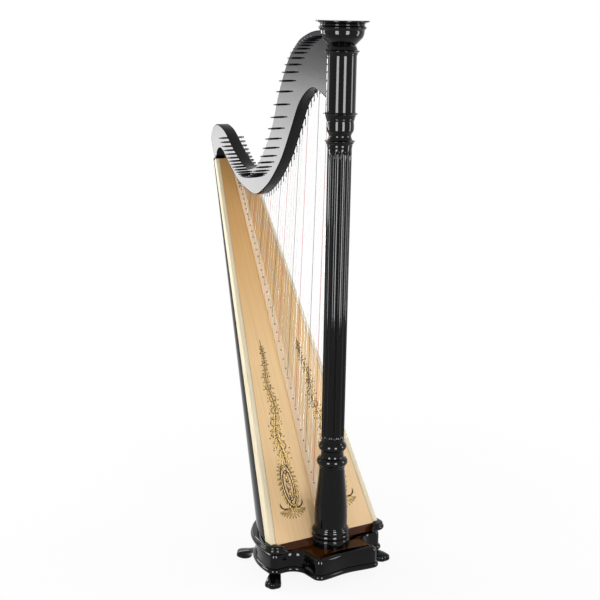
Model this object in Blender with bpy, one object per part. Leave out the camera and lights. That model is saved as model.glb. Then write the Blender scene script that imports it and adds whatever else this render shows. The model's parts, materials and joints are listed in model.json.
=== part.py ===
# A full-size lever harp: footed base, hollow half-round body, spruce soundboard,
# fluted column with turned ends, curved neck, forty strings and forty hinged levers.
# Metres, +Z up. +X points to the column and +Y to the side that carries strings and levers.
# All places are measured from the foot of the column's axis, which stands COLUMN_X
# ahead of the middle of the harp.

import math

import bmesh
import bpy

# Fits and levels
FIT_GAP = 0.0003
COLUMN_X = 0.27039
FEET_HEIGHT = 0.035
DECK_Z = 0.103
CUT_REACH = 0.7

# Soundboard and its edge strips. t runs up the board, depth runs behind its front face.
BOARD_LEAN = math.radians(27.46)
BOARD_FOOT_X = -0.0241
BOARD_FOOT_Z = DECK_Z + 0.021
BOARD_LENGTH = 1.259
BOARD_HALF_BASS = 0.2033
BOARD_HALF_TREBLE = 0.0639
BOARD_THICKNESS = 0.006
EDGE_FRONT_BASS = 0.020
EDGE_FRONT_TREBLE = 0.0125
EDGE_SIDE_BASS = 0.030
EDGE_SIDE_TREBLE = 0.014

# Body shell
SHELL_DEPTH_BASS = 0.214
SHELL_DEPTH_TREBLE = 0.046
SHELL_WALL = 0.006
SHELL_FLOOR = 0.012
SHELL_TOP_WALL = 0.018
SILL_REACH = 0.008
SILL_LOW = -0.06
BODY_RUN_LOW = -0.16
BODY_ARC_STEPS = 16
SOUND_HOLE_COUNT = 4
SOUND_HOLE_FIRST = 0.30
SOUND_HOLE_PITCH = 0.225
SOUND_HOLE_LENGTH = 0.135
SOUND_HOLE_HALF_FIRST = 0.032
SOUND_HOLE_HALF_LAST = 0.017
SOUND_HOLE_STEPS = 5
SOUND_HOLE_CUT = 0.05

# Base, sized by the body that stands on it
WALL_INSET = 0.007
DECK_ROUND = 0.009
DECK_ROUND_STEPS = 3
COLLAR_END_INSET = 0.0453
COLLAR_FRONT_HALF = BOARD_HALF_BASS - COLLAR_END_INSET
COLLAR_FRONT_X = -0.06
BASE_SIDE_MARGIN = 0.0092
BASE_HALF = BOARD_HALF_BASS + BASE_SIDE_MARGIN
BASE_REAR_X = -0.034
BASE_REAR_MARGIN = 0.0028
BASE_REAR_REACH = SHELL_DEPTH_BASS / math.cos(BOARD_LEAN) + BASE_REAR_MARGIN
BASE_WING_X = -0.002
BASE_NOSE_X = 0.109
BASE_NOSE_HALF = 0.1205
BASE_CORNER_ROUND = 0.026
BASE_INNER_ROUND = 0.040
BASE_NOSE_HOLLOW = 0.009
BASE_NOSE_STEPS = 6
BASE_CORNER_STEPS = 5
BASE_REAR_STEPS = 11

# Feet: place of the ankle and the way the toes point, for the front and the rear pair
FRONT_FOOT_INSET = 0.0275
FRONT_FOOT = (-0.028, BASE_HALF - FRONT_FOOT_INSET, math.radians(42))
REAR_FOOT_ANGLE = math.radians(49)
REAR_FOOT_REACH = 0.012
REAR_FOOT = (BASE_REAR_X - (BASE_REAR_REACH + REAR_FOOT_REACH) * math.sin(REAR_FOOT_ANGLE),
             (BASE_HALF + REAR_FOOT_REACH) * math.cos(REAR_FOOT_ANGLE), math.radians(166))
PAW_REACH = 0.031
PAW_LENGTH_HALF = 0.025
PAW_WIDTH_HALF = 0.0245
PAW_MIDDLE_Z = 0.014
PAW_RISE = 0.021
PAW_SIDES = 24
PAW_LEVELS = 7
ANKLE_HALF = 0.017
ANKLE_LONG = 1.25
ANKLE_SLOPE = 0.015
ANKLE_SIDES = 10
TOE_SWELL = 0.10
TOE_COUNT = 4
TOE_PITCH = math.radians(36)

# Column
COLUMN_SIDES = 24
HEIGHT_STEPS = 8
FLUTE_COUNT = 12
FLUTE_DEPTH = 0.0042
FLUTE_SHARE = 0.86
SHAFT_BOTTOM = 0.4333
SHAFT_TOP = 1.331
SHAFT_RADIUS_LOW = 0.0351
SHAFT_RADIUS_HIGH = 0.0360
FLUTE_BOTTOM = 0.445
FLUTE_TOP = 1.310
FLUTE_END_LOW = 0.009
FLUTE_END_HIGH = 0.026

# Neck, drawn in a plane that is yawed from the middle plane: s along the neck, n across it
NECK_YAW = math.radians(2.1)
NECK_NEAR = -0.035
NECK_THICKNESS = 0.041
NECK_COLUMN_END = -0.022
NECK_LOWER_TUCK = 0.005
NECK_CURVE_STEPS = 3

# Shoulder block. Places along the neck are measured from the board's top end.
SHOULDER_PLATE = 0.012
SHOULDER_TAPER = 0.0054
LEG_FRONT = -0.0088
LEG_REAR = -0.0228
KNEE_THICKNESS = 0.036
KNEE_FRONT = -0.0048
KNEE_REAR = -0.0233
# Knee above its root: front and rear place, height above the board's end, share of thickness
KNEE_ROWS = [(-0.0098, -0.0333, 0.0288, 0.8), (-0.0133, -0.0353, 0.0508, 0.4)]

# Strings
STRING_COUNT = 40
FIRST_STRING_S = -0.062
LAST_STRING_REST = 0.0539
EVEN_STEPS = 14
MIDDLE_STEP_SHARE = 0.987
LAST_STEP_SHARE = 0.686
FIRST_HOLE_T = 0.0935
LAST_HOLE_REST = 0.1126
EVEN_HOLE_STEPS = 12
MIDDLE_HOLE_SHARE = 0.918
LAST_HOLE_SHARE = 0.466
STRING_OFFSET = 0.016
STRING_RADIUS_BASS = 0.0008
STRING_RADIUS_TREBLE = 0.0004
STRING_SIDES = 6
RIB_THICKNESS = 0.003
RIB_HALF_BASS = 0.017
RIB_HALF_TREBLE = 0.012
RIB_FOOT_MARGIN = 0.022
RIB_TOP_REST = 0.030

# Pins
TUNING_PIN_RADIUS = 0.0031
TUNING_PIN_NEAR = 0.031
TUNING_PIN_FAR = 0.024
BRIDGE_PIN_RADIUS = 0.0012
BRIDGE_PIN_FAR = 0.020
PIN_SIDES = 6
PIN_ROOT = 0.004
STRING_TAIL = 0.002
SEMITONE_SHARE = 1.0 - 2.0 ** (-1.0 / 12.0)

# Levers
LEVER_EDGE_DISTANCE = 0.012
LEVER_SIDE_STEP = 0.0030
LEVER_WIDTH = 0.0036
LEVER_HUB_RADIUS = 0.0035
LEVER_HANDLE_LENGTH = 0.0215
LEVER_HANDLE_HALF = 0.0014
LEVER_TIP = 0.001
LEVER_HUB_STEPS = 7

# The hand-set lines and profiles below are drawn for a deck at this height and a board that
# ends at this place. lifted() and on_drawn_neck() move them with the real ones, and the
# neck nearer to the column than COLUMN_REST_S stays with the column.
DRAWN_DECK_Z = 0.103
DRAWN_END_S = -0.6047
DRAWN_END_Z = 1.2412
COLUMN_REST_S = -0.100

# Outlines drawn by hand in the neck's plane (s, z), from the column to the treble shoulder
NECK_UPPER = [
    (-0.060, 1.6705), (-0.095, 1.6665), (-0.125, 1.6580), (-0.163, 1.6405), (-0.191, 1.6150),
    (-0.213, 1.5890), (-0.235, 1.5500), (-0.270, 1.4680), (-0.302, 1.3680), (-0.342, 1.2930),
    (-0.379, 1.2450), (-0.421, 1.2300), (-0.461, 1.2410), (-0.512, 1.2810), (-0.559, 1.3280),
    (-0.587, 1.3460), (-0.617, 1.3530), (-0.641, 1.3380), (-0.650, 1.3070), (-0.644, 1.2820),
    (-0.633, 1.2520),
]
NECK_LOWER = [
    (-0.037, 1.483), (-0.065, 1.496), (-0.094, 1.502), (-0.131, 1.481), (-0.163, 1.444),
    (-0.197, 1.373), (-0.245, 1.279), (-0.298, 1.210), (-0.339, 1.174), (-0.380, 1.151),
    (-0.418, 1.154), (-0.486, 1.183), (-0.540, 1.231), (-0.580, 1.270), (-0.600, 1.276),
    (-0.612, 1.264),
]
PIN_LINE = [
    (-0.045, 1.653), (-0.064, 1.652), (-0.093, 1.646), (-0.136, 1.624), (-0.167, 1.598),
    (-0.196, 1.559), (-0.228, 1.498), (-0.261, 1.406), (-0.293, 1.327), (-0.327, 1.261),
    (-0.368, 1.218), (-0.409, 1.204), (-0.449, 1.214), (-0.494, 1.245), (-0.528, 1.280),
    (-0.558, 1.318),
]

# Turned profiles (z, radius)
FOOT_PROFILE = [
    (0.1033, 0.0595), (0.1230, 0.0595), (0.1245, 0.0565), (0.1290, 0.0565), (0.1310, 0.0580),
    (0.1345, 0.0588), (0.1380, 0.0578), (0.1405, 0.0562), (0.1440, 0.0574), (0.1485, 0.0580),
    (0.1530, 0.0568), (0.1555, 0.0538), (0.1595, 0.0535), (0.1605, 0.0492), (0.1750, 0.0506),
    (0.1950, 0.0509), (0.2250, 0.0500), (0.2600, 0.0472), (0.2950, 0.0438), (0.3250, 0.0408),
    (0.3520, 0.0388), (0.3530, 0.0410), (0.3590, 0.0412), (0.3620, 0.0446), (0.3665, 0.0474),
    (0.3720, 0.0480), (0.3775, 0.0470), (0.3825, 0.0430), (0.3850, 0.0362), (0.3960, 0.0350),
    (0.4070, 0.0362), (0.4105, 0.0410), (0.4150, 0.0432), (0.4200, 0.0434), (0.4250, 0.0424),
    (0.4290, 0.0390), (0.4330, 0.0366),
]
HEAD_PROFILE = [
    (1.3313, 0.0362), (1.3380, 0.0375), (1.3440, 0.0378), (1.3460, 0.0410), (1.3510, 0.0415),
    (1.3520, 0.0450), (1.3545, 0.0450), (1.3560, 0.0370), (1.3675, 0.0325), (1.3750, 0.0350),
    (1.3820, 0.0400), (1.3900, 0.0410), (1.4020, 0.0408), (1.4120, 0.0398), (1.4145, 0.0420),
    (1.4200, 0.0426), (1.4260, 0.0450), (1.4305, 0.0460), (1.4315, 0.0508), (1.4340, 0.0508),
    (1.4355, 0.0446), (1.4400, 0.0440), (1.6000, 0.0440), (1.6010, 0.0452), (1.6090, 0.0470),
    (1.6115, 0.0522), (1.6140, 0.0522), (1.6155, 0.0460), (1.6240, 0.0430), (1.6286, 0.0400),
]
CAPITAL_PROFILE = [
    (1.6289, 0.0388), (1.6516, 0.0604), (1.6620, 0.0640), (1.6720, 0.0646), (1.6745, 0.0670),
    (1.6785, 0.0702), (1.6815, 0.0704), (1.6835, 0.0660), (1.6880, 0.0645), (1.6915, 0.0670),
    (1.6945, 0.0740), (1.6960, 0.0786), (1.6992, 0.0788), (1.7000, 0.0780),
]
# Space that the neck's end leaves round the column: the same heights, smoothed over
COPE_PROFILE = [
    (1.4600, 0.0440), (1.6000, 0.0440), (1.6000, 0.0522), (1.6290, 0.0522), (1.6516, 0.0606),
    (1.6620, 0.0642), (1.6720, 0.0648), (1.6720, 0.0706), (1.7000, 0.0790),
]
# Mouldings of the base (height above the moulding's foot, offset from the base outline)
BEAD_PROFILE = [
    (0.0000, -0.0070), (0.0020, -0.0025), (0.0055, 0.0000), (0.0105, 0.0000),
    (0.0140, -0.0020), (0.0170, -0.0060),
]
COLLAR_PROFILE = [
    (0.0000, 0.0010), (0.0035, 0.0065), (0.0090, 0.0090), (0.0140, 0.0075),
    (0.0165, 0.0045), (0.0205, 0.0055), (0.0247, 0.0020),
]

MATERIALS = {
    "black_lacquer": ((0.012, 0.012, 0.014), 0.12, 0.0),
    "spruce": ((0.80, 0.62, 0.40), 0.35, 0.0),
    "pale_maple": ((0.90, 0.84, 0.68), 0.35, 0.0),
    "string_gut": ((0.75, 0.72, 0.66), 0.40, 0.0),
    "lever_metal": ((0.25, 0.25, 0.26), 0.30, 1.0),
}


def clear_scene():
    """Remove whatever the scene holds."""
    for item in list(bpy.data.objects):
        bpy.data.objects.remove(item, do_unlink=True)


def make_material(name):
    """Principled material with the finish listed for that name."""
    color, roughness, metallic = MATERIALS[name]
    material = bpy.data.materials.get(name) or bpy.data.materials.new(name)
    material.use_nodes = True
    shader = material.node_tree.nodes["Principled BSDF"]
    shader.inputs["Base Color"].default_value = (*color, 1.0)
    shader.inputs["Roughness"].default_value = roughness
    shader.inputs["Metallic"].default_value = metallic
    return material


def between(low, high, share):
    """Value a share of the way from low to high."""
    return low + (high - low) * share


def skin(rings):
    """Points and faces of a closed skin over rings of equal length, with flat ends."""
    count = len(rings[0])
    points = [point for ring in rings for point in ring]
    faces = []
    for row in range(len(rings) - 1):
        for k in range(count):
            a = row * count + k
            b = row * count + (k + 1) % count
            faces.append((a, b, b + count, a + count))
    last = (len(rings) - 1) * count
    faces.append(tuple(reversed(range(count))))
    faces.append(tuple(range(last, last + count)))
    return points, faces


def join_skins(skins):
    """One point list and face list that hold several separate skins."""
    points = []
    faces = []
    for skin_points, skin_faces in skins:
        start = len(points)
        points.extend(skin_points)
        faces.extend(tuple(start + k for k in face) for face in skin_faces)
    return points, faces


def outward_mesh(name, points, faces):
    """Mesh whose faces all point out, with any warped face split."""
    mesh = bpy.data.meshes.new(name)
    mesh.from_pydata(points, [], faces)
    work = bmesh.new()
    work.from_mesh(mesh)
    bmesh.ops.connect_verts_nonplanar(work, angle_limit=math.radians(0.05), faces=work.faces)
    bmesh.ops.recalc_face_normals(work, faces=work.faces)
    work.to_mesh(mesh)
    work.free()
    return mesh


def add_object(name, mesh, origin):
    """Object in the scene, placed from the foot of the column's axis."""
    item = bpy.data.objects.new(name, mesh)
    bpy.context.scene.collection.objects.link(item)
    item.parent = origin
    return item


def add_piece(name, shape, material, origin, round_angle=None):
    """A sub-part: mesh, finish and smooth shading over edges flatter than round_angle."""
    mesh = outward_mesh(name, *shape)
    mesh.materials.append(make_material(material))
    if round_angle is not None:
        mesh.shade_smooth()
        mesh.set_sharp_from_angle(angle=math.radians(round_angle))
    return add_object(name, mesh, origin)


def add_cutter(name, shape, origin):
    """A tool body that is never part of the harp itself."""
    item = add_object(name, outward_mesh(name, *shape), origin)
    item.hide_render = True
    item.display_type = "WIRE"
    return item


def combine(piece, tool, operation):
    """Boolean of a piece with a tool body."""
    modifier = piece.modifiers.new(tool.name, "BOOLEAN")
    modifier.operation = operation
    modifier.solver = "EXACT"
    modifier.object = tool


def lifted(z):
    """Height of a drawn point once the deck stands at its real height."""
    return z + DECK_Z - DRAWN_DECK_Z


def turned(profile, radius_add=0.0, sides=COLUMN_SIDES):
    """Solid turned about the column's axis from (z, radius) pairs, bottom to top."""
    rings = []
    for z, radius in profile:
        ring = []
        for k in range(sides):
            angle = 2.0 * math.pi * k / sides
            reach = radius + radius_add
            ring.append((reach * math.cos(angle), reach * math.sin(angle), lifted(z)))
        rings.append(ring)
    return skin(rings)


def box_shape(low, high):
    """Plain box between two corners."""
    base = [(low[0], low[1]), (high[0], low[1]), (high[0], high[1]), (low[0], high[1])]
    return skin([[(x, y, z) for x, y in base] for z in (low[2], high[2])])


def below_shape(z):
    """Everything below a height."""
    return box_shape((-CUT_REACH, -CUT_REACH, -CUT_REACH), (CUT_REACH, CUT_REACH, z))


def smooth_path(points, steps):
    """Catmull-Rom curve through hand-set points, with a few steps between each pair."""
    ends = [points[0]] + list(points) + [points[-1]]
    path = []
    for k in range(len(points) - 1):
        p0, p1, p2, p3 = ends[k:k + 4]
        for j in range(steps):
            u = j / steps
            path.append(tuple(
                0.5 * (2 * b + (c - a) * u + (2 * a - 5 * b + 4 * c - d) * u * u
                       + (3 * b - a - 3 * c + d) * u ** 3)
                for a, b, c, d in zip(p0, p1, p2, p3)))
    path.append(tuple(points[-1]))
    return path


def height_on(line, s):
    """Height of a hand-set line of the neck at s, read from its smooth curve."""
    path = smooth_path(on_drawn_neck(line), HEIGHT_STEPS)
    for (s_near, z_near), (s_far, z_far) in zip(path, path[1:]):
        if min(s_near, s_far) <= s <= max(s_near, s_far) and s_near != s_far:
            return between(z_near, z_far, (s - s_near) / (s_far - s_near))
    raise ValueError("the line does not reach s = %.4f" % s)


# Soundboard and body

def on_board(t, side, depth):
    """Point t up the board, to the side of its middle line and behind its front face."""
    x = BOARD_FOOT_X - t * math.sin(BOARD_LEAN) - depth * math.cos(BOARD_LEAN)
    z = BOARD_FOOT_Z + t * math.cos(BOARD_LEAN) - depth * math.sin(BOARD_LEAN)
    return (x, side, z)


def board_half(t):
    return between(BOARD_HALF_BASS, BOARD_HALF_TREBLE, t / BOARD_LENGTH)


def edge_front(t):
    return between(EDGE_FRONT_BASS, EDGE_FRONT_TREBLE, t / BOARD_LENGTH)


def edge_side(t):
    return between(EDGE_SIDE_BASS, EDGE_SIDE_TREBLE, t / BOARD_LENGTH)


def shell_depth(t):
    return between(SHELL_DEPTH_BASS, SHELL_DEPTH_TREBLE, t / BOARD_LENGTH)


def body_ring(t, grow, front):
    """Half-round section of the body: straight sides from depth front, then half an ellipse."""
    half = board_half(t) + grow
    start = edge_side(t)
    deep = shell_depth(t) + grow - start
    ring = [on_board(t, -half, front)]
    for k in range(BODY_ARC_STEPS + 1):
        angle = math.pi * k / BODY_ARC_STEPS
        ring.append(on_board(t, -half * math.cos(angle), start + deep * math.sin(angle)))
    ring.append(on_board(t, half, front))
    return ring


def make_soundboard(origin):
    rings = []
    for t in (0.0, BOARD_LENGTH):
        half = board_half(t) - edge_front(t) - FIT_GAP
        rings.append([on_board(t, -half, 0.0), on_board(t, half, 0.0),
                      on_board(t, half, BOARD_THICKNESS), on_board(t, -half, BOARD_THICKNESS)])
    return add_piece("soundboard", skin(rings), "spruce", origin)


def make_edge_strip(name, side, origin):
    """Pale strip that covers one long edge of the board and the rim behind it."""
    rings = []
    for t in (0.0, BOARD_LENGTH):
        outer = side * board_half(t)
        inner = side * (board_half(t) - edge_front(t))
        rings.append([on_board(t, outer, 0.0), on_board(t, inner, 0.0),
                      on_board(t, inner, edge_side(t)), on_board(t, outer, edge_side(t))])
    return add_piece(name, skin(rings), "pale_maple", origin)


def sound_hole_shape(index):
    """Long oval through the back of the shell."""
    middle = SOUND_HOLE_FIRST + index * SOUND_HOLE_PITCH
    half = between(SOUND_HOLE_HALF_FIRST, SOUND_HOLE_HALF_LAST, index / (SOUND_HOLE_COUNT - 1))
    straight = SOUND_HOLE_LENGTH / 2 - half
    outline = []
    for end in (1, -1):
        for k in range(SOUND_HOLE_STEPS + 1):
            angle = math.pi * k / SOUND_HOLE_STEPS + (0.0 if end == 1 else math.pi)
            outline.append((middle + end * straight + half * math.sin(angle), half * math.cos(angle)))
    deep = shell_depth(middle)
    return skin([[on_board(t, y, depth) for t, y in outline]
                 for depth in (deep - SOUND_HOLE_CUT, deep + SOUND_HOLE_CUT)])


def make_body_shell(origin):
    """Hollow half-round shell, open to the board, with a floor, a front sill and sound holes."""
    outer = []
    for t in (BODY_RUN_LOW, BOARD_LENGTH):
        first, _, *arc, _, last = body_ring(t, 0.0, edge_side(t) + FIT_GAP)
        outer.append([first, *arc, last])
    shell = add_piece("body_shell", skin(outer), "black_lacquer", origin, 25)

    inner = [body_ring(t, -SHELL_WALL, edge_side(t) - SHELL_WALL)
             for t in (BODY_RUN_LOW, BOARD_LENGTH - SHELL_TOP_WALL)]
    hollow = add_cutter("shell_hollow", skin(inner), origin)
    inner_floor = add_cutter("hollow_floor", below_shape(DECK_Z + SHELL_FLOOR), origin)
    combine(hollow, inner_floor, "DIFFERENCE")
    combine(shell, hollow, "DIFFERENCE")

    sill = []
    for t in (SILL_LOW, -FIT_GAP):
        half = board_half(t)
        back = half - SILL_REACH
        deep = edge_side(t) + SILL_REACH
        sill.append([on_board(t, -half, 0.0), on_board(t, half, 0.0),
                     on_board(t, half, edge_side(t)), on_board(t, back, deep),
                     on_board(t, -back, deep), on_board(t, -half, edge_side(t))])
    combine(shell, add_cutter("shell_sill", skin(sill), origin), "UNION")

    combine(shell, add_cutter("under_deck", below_shape(DECK_Z + FIT_GAP), origin), "DIFFERENCE")

    holes = join_skins([sound_hole_shape(k) for k in range(SOUND_HOLE_COUNT)])
    combine(shell, add_cutter("sound_holes", holes, origin), "DIFFERENCE")
    return shell


def make_body_room(origin):
    """Space that the neighbours of the body's lower end leave free."""
    rings = [body_ring(t, 2 * FIT_GAP, -FIT_GAP) for t in (BODY_RUN_LOW, BOARD_LENGTH)]
    return add_cutter("body_room", skin(rings), origin)


# Base

def arc_points(center, radius, start, end):
    """Points on a corner's plan arc, angles in degrees."""
    points = []
    for k in range(BASE_CORNER_STEPS + 1):
        angle = math.radians(between(start, end, k / BASE_CORNER_STEPS))
        points.append((center[0] + radius * math.cos(angle), center[1] + radius * math.sin(angle)))
    return points


def base_half_outline():
    """Plan of the base on the +Y side, from the middle of its nose to the middle of its back."""
    round_out = BASE_CORNER_ROUND
    round_in = BASE_INNER_ROUND
    nose_side = BASE_NOSE_HALF
    points = []
    nose_run = nose_side - round_out
    for k in range(BASE_NOSE_STEPS):
        y = nose_run * k / BASE_NOSE_STEPS
        hollow = BASE_NOSE_HOLLOW * (1 + math.cos(math.pi * y / nose_run)) / 2
        points.append((BASE_NOSE_X - hollow, y))
    points += arc_points((BASE_NOSE_X - round_out, nose_run), round_out, 0, 90)
    points += arc_points((BASE_WING_X + round_in, nose_side + round_in), round_in, 270, 180)
    points += arc_points((BASE_WING_X - round_out, BASE_HALF - round_out), round_out, 0, 90)
    for k in range(BASE_REAR_STEPS + 1):
        angle = math.radians(90.0 * k / BASE_REAR_STEPS)
        points.append((BASE_REAR_X - BASE_REAR_REACH * math.sin(angle), BASE_HALF * math.cos(angle)))
    return points


def base_outline(offset):
    """Whole plan, moved outwards by offset along its own normals."""
    half = base_half_outline()
    mirrored = [(x, -y) for x, y in reversed(half[1:-1])]
    plan = half + mirrored
    moved = []
    for k, (x, y) in enumerate(plan):
        x_back, y_back = plan[k - 1]
        x_next, y_next = plan[(k + 1) % len(plan)]
        run_x = x_next - x_back
        run_y = y_next - y_back
        run = math.hypot(run_x, run_y)
        moved.append((x + offset * run_y / run, y - offset * run_x / run))
    return moved


def moulded_plate(foot_z, profile):
    """Plate over the base plan whose edge follows (height, offset) pairs."""
    rings = []
    for height, offset in profile:
        rings.append([(x, y, foot_z + height) for x, y in base_outline(offset)])
    return skin(rings)


def make_base_bead(origin):
    return add_piece("base_bead", moulded_plate(FEET_HEIGHT, BEAD_PROFILE),
                     "black_lacquer", origin, 40)


def make_base_box(origin):
    foot_z = FEET_HEIGHT + BEAD_PROFILE[-1][0] + FIT_GAP
    rise = DECK_Z - foot_z
    profile = [(0.0, -WALL_INSET)]
    for k in range(DECK_ROUND_STEPS + 1):
        angle = math.pi / 2 * k / DECK_ROUND_STEPS
        profile.append((rise - DECK_ROUND * (1 - math.sin(angle)),
                        -WALL_INSET - DECK_ROUND * (1 - math.cos(angle))))
    return add_piece("base_box", moulded_plate(foot_z, profile), "black_lacquer", origin, 40)


def make_base_collar(body_room, origin):
    """Moulding that hugs the body's foot round its sides and back and turns its front corners."""
    collar = add_piece("base_collar", moulded_plate(DECK_Z + FIT_GAP, COLLAR_PROFILE),
                       "black_lacquer", origin, 40)
    combine(collar, body_room, "DIFFERENCE")
    front_room = box_shape((COLLAR_FRONT_X, -COLLAR_FRONT_HALF, 0.0),
                           (CUT_REACH, COLLAR_FRONT_HALF, CUT_REACH))
    combine(collar, add_cutter("front_room", front_room, origin), "DIFFERENCE")
    return collar


def paw_shape():
    """Paw with swollen toes, flat underneath, its toes towards +X."""
    rings = []
    for row in range(1, PAW_LEVELS):
        rise = math.pi * (row / PAW_LEVELS - 0.5)
        ring = []
        for k in range(PAW_SIDES):
            angle = 2.0 * math.pi * k / PAW_SIDES
            swell = 1.0
            if min(angle, 2.0 * math.pi - angle) < TOE_COUNT * TOE_PITCH / 2:
                swell += TOE_SWELL * math.cos(2.0 * math.pi * angle / TOE_PITCH) * math.cos(rise)
            x = PAW_REACH + PAW_LENGTH_HALF * math.cos(rise) * math.cos(angle) * swell
            y = PAW_WIDTH_HALF * math.cos(rise) * math.sin(angle) * swell
            z = max(0.0, PAW_MIDDLE_Z + PAW_RISE * math.sin(rise))
            ring.append((x, y, z))
        rings.append(ring)
    return skin(rings)


def ankle_shape():
    """Leg from under the base down and out into the paw."""
    top = FEET_HEIGHT - FIT_GAP
    stations = [(-ANKLE_SLOPE, top, 1.0), (0.0, 0.7 * top, 0.95), (ANKLE_SLOPE, 0.35 * top, 0.85)]
    rings = []
    for x_middle, z, scale in stations:
        ring = []
        for k in range(ANKLE_SIDES):
            angle = 2.0 * math.pi * k / ANKLE_SIDES
            ring.append((x_middle + ANKLE_LONG * ANKLE_HALF * scale * math.cos(angle),
                         ANKLE_HALF * scale * math.sin(angle), z))
        rings.append(ring)
    return skin(rings)


def make_foot(name, place, side, origin):
    x, y, turn = place
    paw = add_piece(name, paw_shape(), "black_lacquer", origin, 50)
    ankle = add_cutter(name + "_ankle", ankle_shape(), origin)
    for item in (paw, ankle):
        item.location = (x, side * y, 0.0)
        item.rotation_euler = (0.0, 0.0, side * turn)
    combine(paw, ankle, "UNION")
    return paw


# Column

def flute_depth(u, z):
    """Depth of a flute at u across its bay (-1 to 1) and at height z, with rounded ends."""
    share = 1.0
    if z < FLUTE_BOTTOM + FLUTE_END_LOW:
        share = max(0.0, 1.0 - ((FLUTE_BOTTOM + FLUTE_END_LOW - z) / FLUTE_END_LOW) ** 2)
    if z > FLUTE_TOP - FLUTE_END_HIGH:
        share = max(0.0, 1.0 - ((z - FLUTE_TOP + FLUTE_END_HIGH) / FLUTE_END_HIGH) ** 2)
    width = FLUTE_SHARE * math.sqrt(share)
    if abs(u) >= width:
        return 0.0
    return FLUTE_DEPTH * math.sqrt(share) * math.sqrt(1.0 - (u / width) ** 2)


def make_column_shaft(origin):
    bay_places = (-1.0, -FLUTE_SHARE, -0.5, 0.0, 0.5, FLUTE_SHARE)
    end_shares = (0.0, 0.1, 0.4, 1.0)
    heights = [SHAFT_BOTTOM]
    heights += [FLUTE_BOTTOM + FLUTE_END_LOW * share for share in end_shares]
    heights += [FLUTE_TOP - FLUTE_END_HIGH * share for share in reversed(end_shares)]
    heights.append(SHAFT_TOP)
    rings = []
    for z in heights:
        radius = between(SHAFT_RADIUS_LOW, SHAFT_RADIUS_HIGH,
                         (z - SHAFT_BOTTOM) / (SHAFT_TOP - SHAFT_BOTTOM))
        ring = []
        for bay in range(FLUTE_COUNT):
            for u in bay_places:
                angle = 2.0 * math.pi * (bay + 0.5 + 0.5 * u) / FLUTE_COUNT
                reach = radius - flute_depth(u, z)
                ring.append((reach * math.cos(angle), reach * math.sin(angle), lifted(z)))
        rings.append(ring)
    return add_piece("column_shaft", skin(rings), "black_lacquer", origin, 30)


def make_column_ends(body_room, origin):
    """Turned foot, head and capital. The foot is notched where it meets the body."""
    foot = add_piece("column_foot", turned(FOOT_PROFILE), "black_lacquer", origin, 32)
    combine(foot, body_room, "DIFFERENCE")
    add_piece("column_head", turned(HEAD_PROFILE), "black_lacquer", origin, 32)
    add_piece("column_capital", turned(CAPITAL_PROFILE), "black_lacquer", origin, 32)


# Neck, pins and shoulder

def on_neck(s, n, z):
    """Point s along the neck, n across it and at height z."""
    x = s * math.cos(NECK_YAW) - n * math.sin(NECK_YAW)
    y = s * math.sin(NECK_YAW) + n * math.cos(NECK_YAW)
    return (x, y, z)


def neck_far():
    return NECK_NEAR + NECK_THICKNESS


def on_drawn_neck(points):
    """Hand-set (s, z) points of the neck, carried along with the board's top end."""
    end_s, _, end_z = on_board(BOARD_LENGTH, 0.0, 0.0)
    last_string_s = DRAWN_END_S + LAST_STRING_REST
    moved = []
    for s, z in points:
        share = (s - COLUMN_REST_S) / (last_string_s - COLUMN_REST_S)
        share = min(1.0, max(0.0, share))
        moved.append((s + (end_s - DRAWN_END_S) * share,
                      between(lifted(z), z + end_z - DRAWN_END_Z, share)))
    return moved


def spread(index, even, middle, last):
    """Share of the way from the first string to this one: even steps, then ever closer ones."""
    closer = STRING_COUNT - 1 - even
    steps = [1.0] * even
    steps += [between(middle, last, k / (closer - 1)) for k in range(closer)]
    return sum(steps[:index]) / sum(steps)


def string_s(index):
    """Place of a string along the neck."""
    last = on_board(BOARD_LENGTH, 0.0, 0.0)[0] + LAST_STRING_REST
    share = spread(index, EVEN_STEPS, MIDDLE_STEP_SHARE, LAST_STEP_SHARE)
    return between(FIRST_STRING_S, last, share)


def hole_t(index):
    """Place of a string's hole up the board."""
    share = spread(index, EVEN_HOLE_STEPS, MIDDLE_HOLE_SHARE, LAST_HOLE_SHARE)
    return between(FIRST_HOLE_T, BOARD_LENGTH - LAST_HOLE_REST, share)


def string_radius(index):
    return between(STRING_RADIUS_BASS, STRING_RADIUS_TREBLE, index / (STRING_COUNT - 1))


def lever_height(index):
    return height_on(NECK_LOWER, string_s(index)) + LEVER_EDGE_DISTANCE


def bridge_height(index):
    """The lever stops a string a semitone short of its bridge pin."""
    hole_z = on_board(hole_t(index), 0.0, 0.0)[2]
    sounding = lever_height(index) - hole_z
    return lever_height(index) + sounding * SEMITONE_SHARE / (1.0 - SEMITONE_SHARE)


def tuning_pin_place(index):
    s = string_s(index) - TUNING_PIN_RADIUS - string_radius(index) - FIT_GAP
    return s, height_on(PIN_LINE, s)


def bridge_pin_place(index):
    s = string_s(index) - BRIDGE_PIN_RADIUS - string_radius(index) - FIT_GAP
    return s, bridge_height(index)


def pin_shape(s, z, radius, near, far):
    """Pin across the neck from n = near to n = far."""
    rings = []
    for n in (near, far):
        ring = []
        for k in range(PIN_SIDES):
            angle = 2.0 * math.pi * k / PIN_SIDES
            ring.append(on_neck(s + radius * math.cos(angle), n, z + radius * math.sin(angle)))
        rings.append(ring)
    return skin(rings)


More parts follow.
